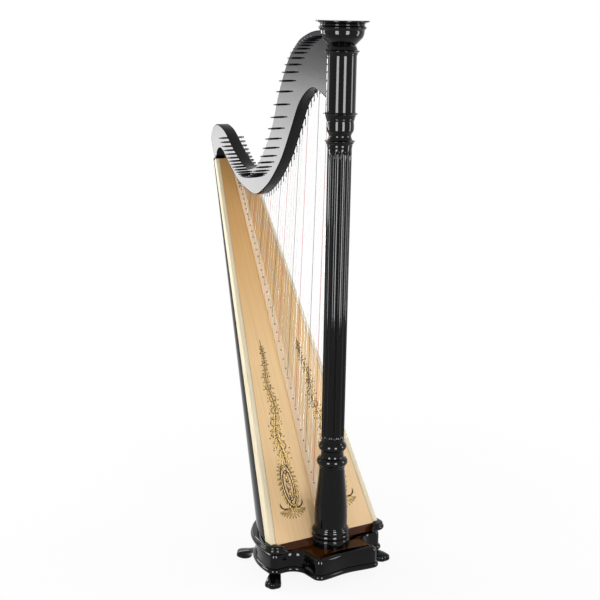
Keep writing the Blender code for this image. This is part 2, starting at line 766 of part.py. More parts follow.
def neck_outline():
    """Closed outline of the neck in (s, z), its end towards the column inside the column."""
    upper = smooth_path(on_drawn_neck(NECK_UPPER), NECK_CURVE_STEPS)
    lower = smooth_path(on_drawn_neck(NECK_LOWER), NECK_CURVE_STEPS)
    column_end = [(NECK_COLUMN_END, lower[0][1] - NECK_LOWER_TUCK), (NECK_COLUMN_END, upper[0][1])]
    seat = [shoulder_seat(LEG_REAR), shoulder_seat(LEG_FRONT)]
    return upper + seat + lower[::-1] + column_end


def shoulder_seat(place):
    """Point (s, z) of the shoulder block's seat, that far along the neck from the board's end."""
    end_x, _, end_z = on_board(BOARD_LENGTH, 0.0, 0.0)
    seat = SHOULDER_PLATE + 3 * FIT_GAP
    return end_x + place, end_z + (seat + place * math.sin(BOARD_LEAN)) / math.cos(BOARD_LEAN)


def make_neck(origin):
    outline = neck_outline()
    rings = [[on_neck(s, n, z) for s, z in outline] for n in (NECK_NEAR, neck_far())]
    neck = add_piece("neck", skin(rings), "black_lacquer", origin, 30)

    pins = []
    for index in range(STRING_COUNT):
        s, z = tuning_pin_place(index)
        pins.append(pin_shape(s, z, TUNING_PIN_RADIUS, NECK_NEAR - TUNING_PIN_NEAR,
                              neck_far() + TUNING_PIN_FAR))
        s, z = bridge_pin_place(index)
        pins.append(pin_shape(s, z, BRIDGE_PIN_RADIUS, neck_far() - PIN_ROOT,
                              neck_far() + BRIDGE_PIN_FAR))
    combine(neck, add_cutter("neck_pins", join_skins(pins), origin), "UNION")

    cope = turned(COPE_PROFILE, FIT_GAP)
    combine(neck, add_cutter("column_room", cope, origin), "DIFFERENCE")
    return neck


def make_shoulder_block(origin):
    """Plate on the body's top end, with a knee beside the neck's leg."""
    rings = []
    for t, grow in ((BOARD_LENGTH + FIT_GAP, 0.0), (BOARD_LENGTH + SHOULDER_PLATE, -SHOULDER_TAPER)):
        ring = body_ring(BOARD_LENGTH, grow, -grow * 0.5)
        lift = t - BOARD_LENGTH
        dx = -lift * math.sin(BOARD_LEAN)
        dz = lift * math.cos(BOARD_LEAN)
        rings.append([(x + dx, y, z + dz) for x, y, z in ring])
    block = add_piece("shoulder_block", skin(rings), "black_lacquer", origin, 30)

    near = neck_far() + FIT_GAP
    sunk = SHOULDER_PLATE / 2
    s_front, z_front = shoulder_seat(KNEE_FRONT)
    s_rear, z_rear = shoulder_seat(KNEE_REAR)
    rows = [(s_front, s_rear, z_front - sunk, z_rear - sunk, 1.0)]
    end_x, _, end_z = on_board(BOARD_LENGTH, 0.0, 0.0)
    for front, rear, rise, share in KNEE_ROWS:
        rows.append((end_x + front, end_x + rear, end_z + rise, end_z + rise, share))
    knee = []
    for s_front, s_rear, z_front, z_rear, share in rows:
        far = near + share * KNEE_THICKNESS
        knee.append([on_neck(s_front, near, z_front), on_neck(s_rear, near, z_rear),
                     on_neck(s_rear, far, z_rear), on_neck(s_front, far, z_front)])
    combine(block, add_cutter("shoulder_knee", skin(knee), origin), "UNION")
    return block


# Strings and levers

def string_shape(index):
    """String from the rib past its bridge pin to its tuning pin."""
    radius = string_radius(index)
    s = string_s(index)
    across = neck_far() + STRING_OFFSET
    _, tuning_z = tuning_pin_place(index)
    route = [on_board(hole_t(index), 0.0, -FIT_GAP - RIB_THICKNESS / 2),
             on_neck(s, across, bridge_height(index)),
             on_neck(s, across, tuning_z + STRING_TAIL)]
    rings = []
    for x, y, z in route:
        ring = []
        for k in range(STRING_SIDES):
            angle = 2.0 * math.pi * (k + 0.5) / STRING_SIDES
            ring.append((x + radius * math.cos(angle), y + radius * math.sin(angle), z))
        rings.append(ring)
    return skin(rings)


def make_string_rib(origin):
    """Rib up the middle of the board with all the strings that are anchored in it."""
    rings = []
    ends = ((hole_t(0) - RIB_FOOT_MARGIN, RIB_HALF_BASS),
            (BOARD_LENGTH - RIB_TOP_REST, RIB_HALF_TREBLE))
    for t, half in ends:
        rings.append([on_board(t, -half, -FIT_GAP), on_board(t, half, -FIT_GAP),
                      on_board(t, half, -FIT_GAP - RIB_THICKNESS),
                      on_board(t, -half, -FIT_GAP - RIB_THICKNESS)])
    rib = add_piece("string_rib", skin(rings), "string_gut", origin)
    strings = join_skins([string_shape(index) for index in range(STRING_COUNT)])
    combine(rib, add_cutter("strings", strings, origin), "UNION")
    return rib


def lever_place(index):
    """Middle of a lever's hinge."""
    n = neck_far() + FIT_GAP + LEVER_HUB_RADIUS
    return on_neck(string_s(index) + LEVER_SIDE_STEP, n, lever_height(index))


def lever_mesh():
    """Hub and handle in one outline, extruded along the hinge (local X), handle hanging down."""
    outline = []
    open_angle = math.asin(LEVER_HANDLE_HALF / LEVER_HUB_RADIUS)
    first = -math.pi / 2 + open_angle
    last = 3 * math.pi / 2 - open_angle
    for k in range(LEVER_HUB_STEPS + 1):
        angle = between(first, last, k / LEVER_HUB_STEPS)
        outline.append((LEVER_HUB_RADIUS * math.cos(angle), LEVER_HUB_RADIUS * math.sin(angle)))
    tip = -LEVER_HANDLE_LENGTH
    outline += [(-LEVER_HANDLE_HALF, tip + LEVER_TIP), (-0.5 * LEVER_HANDLE_HALF, tip),
                (0.5 * LEVER_HANDLE_HALF, tip), (LEVER_HANDLE_HALF, tip + LEVER_TIP)]
    half = LEVER_WIDTH / 2
    mesh = outward_mesh("lever", *skin([[(x, y, z) for y, z in outline] for x in (-half, half)]))
    mesh.materials.append(make_material("lever_metal"))
    return mesh


def make_levers(origin):
    mesh = lever_mesh()
    for index in range(STRING_COUNT):
        lever = add_object("lever_%02d" % (index + 1), mesh, origin)
        lever.location = lever_place(index)
        lever.rotation_euler = (0.0, 0.0, NECK_YAW)


def main():
    clear_scene()
    origin = bpy.data.objects.new("column_axis", None)
    bpy.context.scene.collection.objects.link(origin)
    origin.location = (COLUMN_X, 0.0, 0.0)

    make_soundboard(origin)
    make_edge_strip("soundboard_edge_left", 1, origin)
    make_edge_strip("soundboard_edge_right", -1, origin)
    make_body_shell(origin)

    make_base_bead(origin)
    make_base_box(origin)
    body_room = make_body_room(origin)
    make_base_collar(body_room, origin)
    make_foot("foot_front_left", FRONT_FOOT, 1, origin)
    make_foot("foot_front_right", FRONT_FOOT, -1, origin)
    make_foot("foot_rear_left", REAR_FOOT, 1, origin)
    make_foot("foot_rear_right", REAR_FOOT, -1, origin)

    make_column_ends(body_room, origin)
    make_column_shaft(origin)

    make_neck(origin)
    make_shoulder_block(origin)
    make_string_rib(origin)
    make_levers(origin)


main()
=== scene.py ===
"""Looks of the lever harp: lacquered case and column, spruce board, garland, strings, levers.

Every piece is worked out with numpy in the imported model's own frame: metres, +Z up, +X towards
the column and +Y towards the side that carries strings and levers.
"""
import json
import math

import bmesh
import bpy
import numpy as np
from mathutils import Matrix, Vector


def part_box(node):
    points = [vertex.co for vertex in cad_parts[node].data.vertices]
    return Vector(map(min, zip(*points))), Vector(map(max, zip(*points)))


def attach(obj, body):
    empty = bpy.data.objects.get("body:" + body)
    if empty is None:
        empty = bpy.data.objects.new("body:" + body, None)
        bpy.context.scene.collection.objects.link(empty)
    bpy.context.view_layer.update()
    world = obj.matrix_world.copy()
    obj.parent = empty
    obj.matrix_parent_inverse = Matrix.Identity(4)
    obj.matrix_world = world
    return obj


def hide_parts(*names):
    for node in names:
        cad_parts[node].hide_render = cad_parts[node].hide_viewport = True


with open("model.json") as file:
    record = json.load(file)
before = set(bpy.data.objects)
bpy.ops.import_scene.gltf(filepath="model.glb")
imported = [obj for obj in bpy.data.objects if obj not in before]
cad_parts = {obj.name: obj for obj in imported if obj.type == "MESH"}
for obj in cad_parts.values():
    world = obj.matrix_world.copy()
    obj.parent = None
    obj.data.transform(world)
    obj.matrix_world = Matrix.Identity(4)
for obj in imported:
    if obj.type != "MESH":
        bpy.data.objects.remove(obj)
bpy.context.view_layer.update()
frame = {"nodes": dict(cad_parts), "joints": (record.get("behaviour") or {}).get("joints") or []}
NODES = frame["nodes"]

# The column's axis, and the levels that the model was drawn to
SHAFT_LOW, SHAFT_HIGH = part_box("column_shaft")
AXIS_X = (SHAFT_LOW.x + SHAFT_HIGH.x) / 2
DECK_Z = 0.103
GAP = 0.0003

# Soundboard: t runs up the board, depth runs behind its face
LEAN = math.radians(27.46)
BOARD_FOOT = np.array([AXIS_X - 0.0241, 0.0, 0.124])
BOARD_LENGTH = 1.259
BOARD_HALF = (0.2033, 0.0639)
EDGE_FRONT = (0.020, 0.0125)
EDGE_SIDE = (0.030, 0.014)
SHELL_DEPTH = (0.214, 0.046)
SHELL_WALL = 0.006

# Neck, drawn in a plane turned a little about the column
NECK_YAW = math.radians(2.1)
NECK_NEAR = -0.035
NECK_FAR = 0.006
NECK_EDGE = 0.0028
NECK_UPPER = [
    (-0.022, 1.6705), (-0.060, 1.6705), (-0.095, 1.6665), (-0.125, 1.6580), (-0.163, 1.6405),
    (-0.191, 1.6150), (-0.213, 1.5890), (-0.235, 1.5500), (-0.270, 1.4680), (-0.302, 1.3680),
    (-0.342, 1.2930), (-0.379, 1.2450), (-0.421, 1.2300), (-0.461, 1.2410), (-0.512, 1.2810),
    (-0.559, 1.3280), (-0.587, 1.3460), (-0.617, 1.3530), (-0.641, 1.3380), (-0.650, 1.3070),
    (-0.644, 1.2820), (-0.633, 1.2520),
]
NECK_LOWER = [
    (-0.022, 1.4780), (-0.037, 1.4830), (-0.065, 1.4960), (-0.094, 1.5020), (-0.131, 1.4810),
    (-0.163, 1.4440), (-0.197, 1.3730), (-0.245, 1.2790), (-0.298, 1.2100), (-0.339, 1.1740),
    (-0.380, 1.1510), (-0.418, 1.1540), (-0.486, 1.1830), (-0.540, 1.2310), (-0.580, 1.2700),
    (-0.600, 1.2760), (-0.612, 1.2640),
]
LEG_SEAT = [(-0.6275, 1.2439), (-0.6135, 1.2512)]
PIN_LINE = [
    (-0.045, 1.6530), (-0.064, 1.6520), (-0.093, 1.6460), (-0.136, 1.6240), (-0.167, 1.5980),
    (-0.196, 1.5590), (-0.228, 1.4980), (-0.261, 1.4060), (-0.293, 1.3270), (-0.327, 1.2610),
    (-0.368, 1.2180), (-0.409, 1.2040), (-0.449, 1.2140), (-0.494, 1.2450), (-0.528, 1.2800),
    (-0.558, 1.3180),
]

# Strings and pins
STRING_COUNT = 40
RED_STRINGS = [2, 9, 16, 23, 30, 37]
BLACK_STRINGS = [5, 12, 19, 26, 33]
WOUND_COUNT = 11
STRING_ACROSS = 0.022
STRING_RADIUS = (0.0008, 0.0004)
RIB_TOP = 0.0033
TUNING_RADIUS = 0.0031
TUNING_NEAR = 0.031
TUNING_FAR = 0.024
BRIDGE_RADIUS = 0.0012
BRIDGE_FAR = 0.020
COIL_TURNS = 3

# Least upward part of the normal of a face that counts as deck and gets the deck's painted
# reflection of the board
DECK_FACING = 0.97
# Rounding of turned beads and lips, of the borders' corner and of the shoulder's knee
LIP = 0.0035


# Objects

def new_object(name, data):
    """Object that carries its data, linked to the scene."""
    item = bpy.data.objects.new(name, data)
    bpy.context.scene.collection.objects.link(item)
    return item


# Camera

def make_camera():
    """Stands where the photograph was taken: place, right and up axes, and field of view."""
    azimuth, look, pitch, roll = (math.radians(v) for v in (54.60146, 56.10406, 12.17901, 1.05638))
    distance, focal_pixels, photo_width = 4.11813, 1403.25491, 600
    place = Vector((AXIS_X + distance * math.sin(azimuth), -distance * math.cos(azimuth), 1.76276))
    forward = Vector((-math.sin(look) * math.cos(pitch), math.cos(look) * math.cos(pitch),
                      -math.sin(pitch)))
    level = Vector((math.cos(look), math.sin(look), 0.0))
    over = level.cross(forward)
    right = level * math.cos(roll) + over * math.sin(roll)
    up = -level * math.sin(roll) + over * math.cos(roll)
    data = bpy.data.cameras.new("camera")
    data.sensor_width = 36.0
    data.lens = focal_pixels / photo_width * data.sensor_width
    data.clip_end = 200.0
    camera = new_object("camera", data)
    turn = Matrix((right, up, -forward)).transposed().to_4x4()
    camera.matrix_world = Matrix.Translation(place) @ turn
    bpy.context.scene.camera = camera


make_camera()


# Curves and arrays

def between(low, high, share):
    """Value a share of the way from low to high."""
    return low + (high - low) * share


def soften(points, reach, steps=4, closed=False):
    """Polyline whose corners become parabolas that start and end reach away from the corner.

    On a side shorter than twice the reach they start at its middle."""
    corner = np.asarray(points, float)
    before, after = np.roll(corner, 1, 0), np.roll(corner, -1, 0)
    if not closed:
        before[0], after[-1] = corner[0], corner[-1]

    def towards(other):
        run = np.linalg.norm(other - corner, axis=1, keepdims=True)
        return corner + (other - corner) * np.minimum(0.5, reach / np.maximum(run, 1e-9))

    start, end = towards(before)[:, None], towards(after)[:, None]
    u = np.linspace(0, 1, steps + 1)[None, :, None]
    curve = (1 - u) ** 2 * start + 2 * u * (1 - u) * corner[:, None] + u ** 2 * end
    return curve.reshape(-1, corner.shape[1])


def through(points, steps):
    """Catmull-Rom curve through the points: each span is a cubic of its four nearest points."""
    p = np.asarray(points, float)
    p = np.vstack([p[:1], p, p[-1:]])
    a, b, c, d = p[:-3, None], p[1:-2, None], p[2:-1, None], p[3:, None]
    u = (np.arange(steps) / steps)[None, :, None]
    curve = 0.5 * (2 * b + (c - a) * u + (2 * a - 5 * b + 4 * c - d) * u ** 2
                   + (3 * b - a - 3 * c + d) * u ** 3)
    return np.vstack([curve.reshape(-1, p.shape[1]), p[-1:]])


def spaced(points, count):
    """The same polyline with count points at even distances along it."""
    points = np.asarray(points, float)
    run = np.r_[0, np.cumsum(np.linalg.norm(np.diff(points, axis=0), axis=1))]
    at = np.linspace(0, run[-1], count)
    return np.stack([np.interp(at, run, column) for column in points.T], 1)


def circle(count):
    """Angles at even steps round a circle."""
    return np.linspace(0, 2 * np.pi, count, endpoint=False)


def side_normals(outline, closed=True):
    """Unit vectors in the plane, square to the outline and pointing to its right."""
    if closed:
        run = np.roll(outline, -1, 0) - np.roll(outline, 1, 0)
    else:
        run = np.gradient(outline, axis=0)
    run /= np.linalg.norm(run, axis=1, keepdims=True)
    return np.stack([run[:, 1], -run[:, 0]], 1)


def on_board(t, side, depth):
    """Points t up the board, side across it and depth behind its face."""
    t, side, depth = np.broadcast_arrays(*(np.asarray(v, float) for v in (t, side, depth)))
    return np.stack([BOARD_FOOT[0] - t * math.sin(LEAN) - depth * math.cos(LEAN), side,
                     BOARD_FOOT[2] + t * math.cos(LEAN) - depth * math.sin(LEAN)], -1)


def board_place(z, depth):
    """Place t up the board of a point at a height and at a depth behind the board's face."""
    return (z - BOARD_FOOT[2] + depth * math.sin(LEAN)) / math.cos(LEAN)


def along(pair, t):
    """Size that runs evenly from the board's foot to its top."""
    return between(pair[0], pair[1], np.asarray(t, float) / BOARD_LENGTH)


def on_neck(s, n, z):
    """Points s along the neck, n across it and at height z."""
    s, n, z = np.broadcast_arrays(*(np.asarray(v, float) for v in (s, n, z)))
    return np.stack([AXIS_X + s * math.cos(NECK_YAW) - n * math.sin(NECK_YAW),
                     s * math.sin(NECK_YAW) + n * math.cos(NECK_YAW), z], -1)


# Meshes

def tube(rows, caps=True):
    """Vertices and faces of a grid (rows, columns, 3) whose columns close round, with end faces."""
    points = np.asarray(rows)
    index = np.arange(points.shape[0] * points.shape[1]).reshape(points.shape[:2])
    wrap = np.concatenate([index, index[:, :1]], 1)
    faces = np.stack([wrap[:-1, :-1], wrap[:-1, 1:], wrap[1:, 1:], wrap[1:, :-1]], -1)
    faces = faces.reshape(-1, 4).tolist()
    if caps:
        faces += [index[0, ::-1].tolist(), index[-1].tolist()]
    return points.reshape(-1, 3), faces


def add_piece(name, parts, material, body="harp", replaces=(), sharp=35):
    """One visible piece from closed skins: doubles merged, faces outwards, low angles smooth."""
    points, faces, start = [], [], 0
    for part_points, part_faces in parts:
        points.append(part_points)
        faces += [[start + k for k in face] for face in part_faces]
        start += len(part_points)
    mesh = bpy.data.meshes.new(name)
    mesh.from_pydata(np.concatenate(points).tolist(), [], faces)
    work = bmesh.new()
    work.from_mesh(mesh)
    bmesh.ops.remove_doubles(work, verts=work.verts, dist=1e-6)
    bmesh.ops.dissolve_degenerate(work, dist=1e-6, edges=work.edges)
    bmesh.ops.recalc_face_normals(work, faces=work.faces)
    work.to_mesh(mesh)
    work.free()
    mesh.shade_smooth()
    mesh.set_sharp_from_angle(angle=math.radians(sharp))
    mesh.materials.append(material)
    item = new_object(name, mesh)
    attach(item, body)
    if replaces:
        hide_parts(*replaces)
    return item


def vectors(items, key):
    """Places or normals of a mesh's vertices or faces."""
    values = np.zeros(len(items) * 3, np.float32)
    items.foreach_get(key, values)
    return values.reshape(-1, 3)


def add_second_material(item, material, chosen):
    """Give the chosen faces a second material."""
    item.data.materials.append(material)
    item.data.polygons.foreach_set("material_index", chosen.astype(np.int32))


def turned(z, radius, angle):
    """Points round the column's axis: radius times the angle's cosine and sine, at height z."""
    return np.stack([AXIS_X + radius * np.cos(angle), radius * np.sin(angle),
                     z + 0 * radius * angle], -1)


def lathe(profile, sides=96):
    """Skin turned about the column's axis from (z, radius) pairs."""
    z, radius = np.asarray(profile, float).T[..., None]
    return turned(z, radius, circle(sides)[None])


def node_profile(name, from_x=0.0):
    """(z, radius) pairs of a turned node, read from its vertices ahead of from_x."""
    place = vectors(NODES[name].data.vertices, "co").astype(float)
    place = place[place[:, 0] - AXIS_X > from_x]
    height = np.round(place[:, 2], 4)
    radius = np.hypot(place[:, 0] - AXIS_X, place[:, 1])
    levels = np.unique(height)
    return np.array([(z, radius[height == z].max()) for z in levels])


def wire(path, radius, sides=8):
    """Round section of a radius carried along a path, in the plane square to its tangent."""
    tangent = np.gradient(path, axis=0)
    tangent /= np.linalg.norm(tangent, axis=1, keepdims=True)
    guide = np.where(np.abs(tangent[:, 1:2]) < 0.9, [[0.0, 1.0, 0.0]], [[1.0, 0.0, 0.0]])
    first = np.cross(tangent, guide)
    first /= np.linalg.norm(first, axis=1, keepdims=True)
    second = np.cross(tangent, first)
    angle = circle(sides)[None, :, None]
    radius = np.broadcast_to(np.asarray(radius, float), (len(path),))[:, None, None]
    ring = first[:, None] * np.cos(angle) + second[:, None] * np.sin(angle)
    return path[:, None] + radius * ring


# Shared effects

def feed(tree, socket, value):
    """Give a socket a plain value, or a link where the value is itself a socket."""
    if isinstance(value, bpy.types.NodeSocket):
        tree.links.new(value, socket)
    else:
        socket.default_value = value


def add_node(tree, kind, values=(), **settings):
    """Shader node of a kind with its settings, and with values or links on its sockets."""
    node = tree.nodes.new("ShaderNode" + kind)
    for key, value in settings.items():
        setattr(node, key, value)
    for key, value in dict(values).items():
        feed(tree, node.inputs[key], value)
    return node


def add_math(tree, operation, *values):
    """Math on values or sockets."""
    return add_node(tree, "Math", enumerate(values), operation=operation).outputs[0]


def add_mix(tree, share, first, second, blend="MIX"):
    """Colour mix of two colours or sockets by a share."""
    return add_node(tree, "Mix", {0: share, 6: first, 7: second}, data_type="RGBA",
                    blend_type=blend).outputs[2]


def add_noise(tree, vector, scale, detail, roughness=0.5):
    """Fractal noise at a vector."""
    return add_node(tree, "TexNoise", {"Vector": vector, "Scale": scale, "Detail": detail,
                                       "Roughness": roughness}).outputs[0]


def add_range(tree, value, low, high, to_low=0.0, to_high=1.0):
    """Value carried from one range to another and held at its ends."""
    return add_node(tree, "MapRange", {"Value": value, "From Min": low, "From Max": high,
                                       "To Min": to_low, "To Max": to_high}).outputs[0]


def add_ramp(tree, value, stops):
    """Colour ramp through (place, colour) pairs."""
    ramp = add_node(tree, "ValToRGB", {0: value})
    while len(ramp.color_ramp.elements) < len(stops):
        ramp.color_ramp.elements.new(0.5)
    for element, (place, color) in zip(ramp.color_ramp.elements, stops):
        element.position = place
        element.color = (*color, 1)
    return ramp.outputs[0]


def add_bump(tree, height, strength, distance):
    """Normal bumped by a height."""
    return add_node(tree, "Bump", {"Height": height, "Strength": strength,
                                   "Distance": distance}).outputs[0]


def new_group(name, inputs, outputs):
    """Shader group that takes in sockets (name, kind, value) and puts out others (name, kind)."""
    group = bpy.data.node_groups.new(name, "ShaderNodeTree")
    for label, kind, value in inputs:
        socket = group.interface.new_socket(name=label, in_out="INPUT",
                                            socket_type="NodeSocket" + kind)
        socket.default_value = value
    for label, kind in outputs:
        group.interface.new_socket(name=label, in_out="OUTPUT", socket_type="NodeSocket" + kind)
    return (group, group.nodes.new("NodeGroupInput").outputs,
            group.nodes.new("NodeGroupOutput").inputs)


def make_polish_group():
    """Hand-polished film: broad ripples, and clouds of settled dust that also dull the gloss."""
    group, given, result = new_group(
        "polished_film",
        [("Ripple", "Float", 0.1), ("Base", "Color", (0.01, 0.01, 0.01, 1)),
         ("Dust", "Color", (0.1, 0.1, 0.1, 1)), ("Dust Share", "Float", 0.2),
         ("Smoothest", "Float", 0.05), ("Roughest", "Float", 0.14)],
        [("Color", "Color"), ("Roughness", "Float"), ("Normal", "Vector")])
    place = add_node(group, "TexCoord").outputs["Object"]
    ripples = add_noise(group, place, 22.0, 2.0)
    specks = add_range(group, add_noise(group, place, 900.0, 3.0), 0.58, 0.75)
    clouds = add_range(group, add_noise(group, place, 9.0, 4.0), 0.35, 0.70)
    dusty = add_math(group, "MULTIPLY", specks, clouds)
    dusty = add_math(group, "MULTIPLY", dusty, given["Dust Share"])
    feed(group, result["Color"], add_mix(group, dusty, given["Base"], given["Dust"]))
    feed(group, result["Roughness"],
         add_range(group, clouds, 0.0, 1.0, given["Smoothest"], given["Roughest"]))
    feed(group, result["Normal"], add_bump(group, ripples, given["Ripple"], 0.002))
    return group


def make_fibre_group():
    """Straight wood grain up the board: fine fibre lines, year rings and broad clouds."""
    group, given, result = new_group(
        "wood_fibres",
        [("Light", "Color", (0.8, 0.6, 0.4, 1)), ("Dark", "Color", (0.6, 0.4, 0.2, 1)),
         ("Rings", "Float", 190.0), ("Contrast", "Float", 0.5)],
        [("Color", "Color"), ("Height", "Float"), ("Up", "Float"), ("Across", "Float")])
    place = add_node(group, "TexCoord").outputs["Object"]
    turned = add_node(group, "Mapping", {"Vector": place, "Rotation": (0.0, LEAN, 0.0)}).outputs[0]
    drawn = add_node(group, "Mapping", {"Vector": turned, "Scale": (1.0, 1.0, 0.012)}).outputs[0]
    rings = add_range(group, add_noise(group, drawn, given["Rings"], 2.0, 0.4), 0.42, 0.68)
    height = add_math(group, "MULTIPLY", rings, 0.5)
    for scale, detail, weight in ((900.0, 4.0, 0.3), (26.0, 2.0, 0.4)):
        part = add_math(group, "MULTIPLY", add_noise(group, drawn, scale, detail), weight)
        height = add_math(group, "ADD", height, part)
    share = add_math(group, "MULTIPLY", height, given["Contrast"])
    split = add_node(group, "SeparateXYZ", {0: turned}).outputs
    feed(group, result["Color"], add_mix(group, share, given["Light"], given["Dark"]))
    feed(group, result["Height"], height)
    feed(group, result["Up"], split["Z"])
    feed(group, result["Across"], split["Y"])
    return group


POLISH = make_polish_group()
FIBRES = make_fibre_group()


# Materials

def new_material(name, **values):
    """Material with one Principled shader whose plain sockets take the values given."""
    material = bpy.data.materials.new(name)
    material.use_nodes = True
    tree = material.node_tree
    shader = tree.nodes["Principled BSDF"]
    for key, value in values.items():
        shader.inputs[key.replace("_", " ")].default_value = value
    return material, tree, shader


def polished(name, base, dust, dust_share, smooth, rough, ripple, **values):
    """A finish under the shared polished film."""
    material, tree, shader = new_material(name, **values)
    film = add_node(tree, "Group", {"Base": (*base, 1), "Dust": (*dust, 1),
                                    "Dust Share": dust_share, "Smoothest": smooth,
                                    "Roughest": rough, "Ripple": ripple}, node_tree=POLISH)
    for given, taken in (("Color", "Base Color"), ("Roughness", "Roughness"), ("Normal", "Normal")):
        feed(tree, shader.inputs[taken], film.outputs[given])
    return material


def grained(name, light, dark, rings, contrast, bump, **values):
    """Material, tree and shader of a wood with the shared grain, and the grain's outputs."""
    material, tree, shader = new_material(name, **values)
    wood = add_node(tree, "Group", {"Light": (*light, 1), "Dark": (*dark, 1), "Rings": rings,
                                    "Contrast": contrast}, node_tree=FIBRES).outputs
    feed(tree, shader.inputs["Normal"], add_bump(tree, wood["Height"], bump, 0.0004))
    return material, tree, shader, wood


def spruce_board():
    """Varnished spruce: tan at the foot, orange-brown towards the top, with fine straight grain."""
    material, tree, shader, wood = grained("spruce_board", (1.0, 1.0, 1.0), (0.66, 0.54, 0.42),
                                           210.0, 0.38, 0.12, Roughness=0.34, IOR=1.33)
    tone = add_ramp(tree, add_range(tree, wood["Up"], 0.0, BOARD_LENGTH),
                    [(0.0, (0.89, 0.62, 0.335)), (0.45, (0.90, 0.64, 0.33)),
                     (0.75, (0.74, 0.45, 0.18)), (1.0, (0.56, 0.30, 0.092))])
    feed(tree, shader.inputs["Base Color"], add_mix(tree, 1.0, tone, wood["Color"], "MULTIPLY"))
    return material


def pale_wood(name, light, dark, inlay):
    """Pale maple with soft grain; inlay adds the thin dark lines beside the board."""
    material, tree, shader, wood = grained(name, light, dark, 120.0, 0.75, 0.10, Roughness=0.36,
                                           IOR=1.45, Specular_IOR_Level=0.12)
    color = wood["Color"]
    if inlay:
        low, high = (half - front for half, front in zip(BOARD_HALF, EDGE_FRONT))
        inner = add_math(tree, "MULTIPLY", wood["Up"], (high - low) / BOARD_LENGTH)
        inner = add_math(tree, "ADD", inner, low)
        away = add_math(tree, "SUBTRACT", add_math(tree, "ABSOLUTE", wood["Across"]), inner)
        for place, width, shade in ((0.0006, 0.0007, 0.85), (0.0040, 0.0005, 0.45)):
            near = add_math(tree, "ABSOLUTE", add_math(tree, "SUBTRACT", away, place))
            line = add_math(tree, "MULTIPLY", add_math(tree, "LESS_THAN", near, width), shade)
            color = add_mix(tree, line, color, (0.20, 0.10, 0.04, 1))
    feed(tree, shader.inputs["Base Color"], color)
    return material


def wound_string():
    """Steel-wound bass string: turns of the winding 0.3 mm apart, bumped, with painted highlight on
    their crests and painted shade between them.
    """
    material, tree, shader = new_material("wound_string", Metallic=0.9, Roughness=0.35)
    place = add_node(tree, "TexCoord").outputs["Object"]
    rise = add_node(tree, "SeparateXYZ", {0: place}).outputs["Z"]
    turns = add_math(tree, "SINE", add_math(tree, "MULTIPLY", rise, 21000.0))
    share = add_math(tree, "ADD", add_math(tree, "MULTIPLY", turns, 0.5), 0.5)
    # Painted highlight and shade: the colour brightens with each turn's bump height
    feed(tree, shader.inputs["Base Color"],
         add_mix(tree, share, (0.45, 0.42, 0.40, 1), (0.80, 0.77, 0.74, 1)))
    feed(tree, shader.inputs["Normal"], add_bump(tree, share, 0.4, 0.0001))
    return material


DUST = (0.10, 0.10, 0.105)
LACQUER = polished("black_lacquer", (0.0020, 0.0020, 0.0026), DUST, 0.02, 0.04, 0.08, 0.05,
                   IOR=1.25)
# Painted reflection: the sill's dark brown stands in for the board mirrored in the deck
SILL_PAINTED_REFLECTION = polished("sill_painted_reflection", (0.052, 0.0135, 0.0018), (0.10, 0.05, 0.025), 0.3, 0.10, 0.20, 0.1,
                  IOR=1.22)
# Painted reflection: the deck's dark brown stands in for the spruce board mirrored in it, under a
# gloss too weak to mirror much itself
DECK_PAINTED_REFLECTION = polished("deck_painted_reflection", (0.042, 0.0120, 0.0016), (0.08, 0.04, 0.02), 0.2, 0.04,
                        0.08, 0.05, IOR=1.12)
SATIN_BLACK = polished("satin_black", (0.010, 0.010, 0.011), DUST, 0.15, 0.28, 0.42, 0.1, IOR=1.45)
SPRUCE = spruce_board()
MAPLE = pale_wood("maple_border", (0.84, 0.755, 0.57), (0.71, 0.58, 0.37), True)
RIB_WOOD = pale_wood("rib_maple", (0.90, 0.69, 0.46), (0.78, 0.54, 0.33), False)
GILT = polished("gilt_line", (0.54, 0.36, 0.10), (0.24, 0.12, 0.035), 0.8, 0.35, 0.5, 0.4,
                Metallic=0.30)
UMBER = polished("umber_shade", (0.034, 0.013, 0.004), (0.10, 0.05, 0.02), 0.4, 0.50, 0.7, 0.2,
                 Specular_IOR_Level=0.15)
BRASS = polished("pin_brass", (0.72, 0.52, 0.24), (0.30, 0.20, 0.10), 0.6, 0.18, 0.35, 0.3,
                 Metallic=1.0)
BLUED_STEEL = polished("blued_steel", (0.035, 0.035, 0.042), (0.10, 0.08, 0.07), 0.6, 0.22, 0.38,
                       0.3, Metallic=0.75)
LEVER_STEEL = polished("lever_steel", (0.42, 0.42, 0.43), (0.16, 0.15, 0.14), 0.5, 0.20, 0.34, 0.3,
                       Metallic=1.0)
STRING_FINISH = {
    "red": polished("red_string", (0.62, 0.035, 0.045), (0.30, 0.05, 0.05), 0.4, 0.25, 0.4, 0.2),
    "black": polished("black_string", (0.018, 0.020, 0.020), DUST, 0.4, 0.25, 0.4, 0.2),
    "clear": polished("clear_string", (0.80, 0.78, 0.72), (0.60, 0.57, 0.50), 0.4, 0.18, 0.3, 0.2,
                      Transmission_Weight=0.55, IOR=1.5),
    "wound": wound_string(),
}


# Column

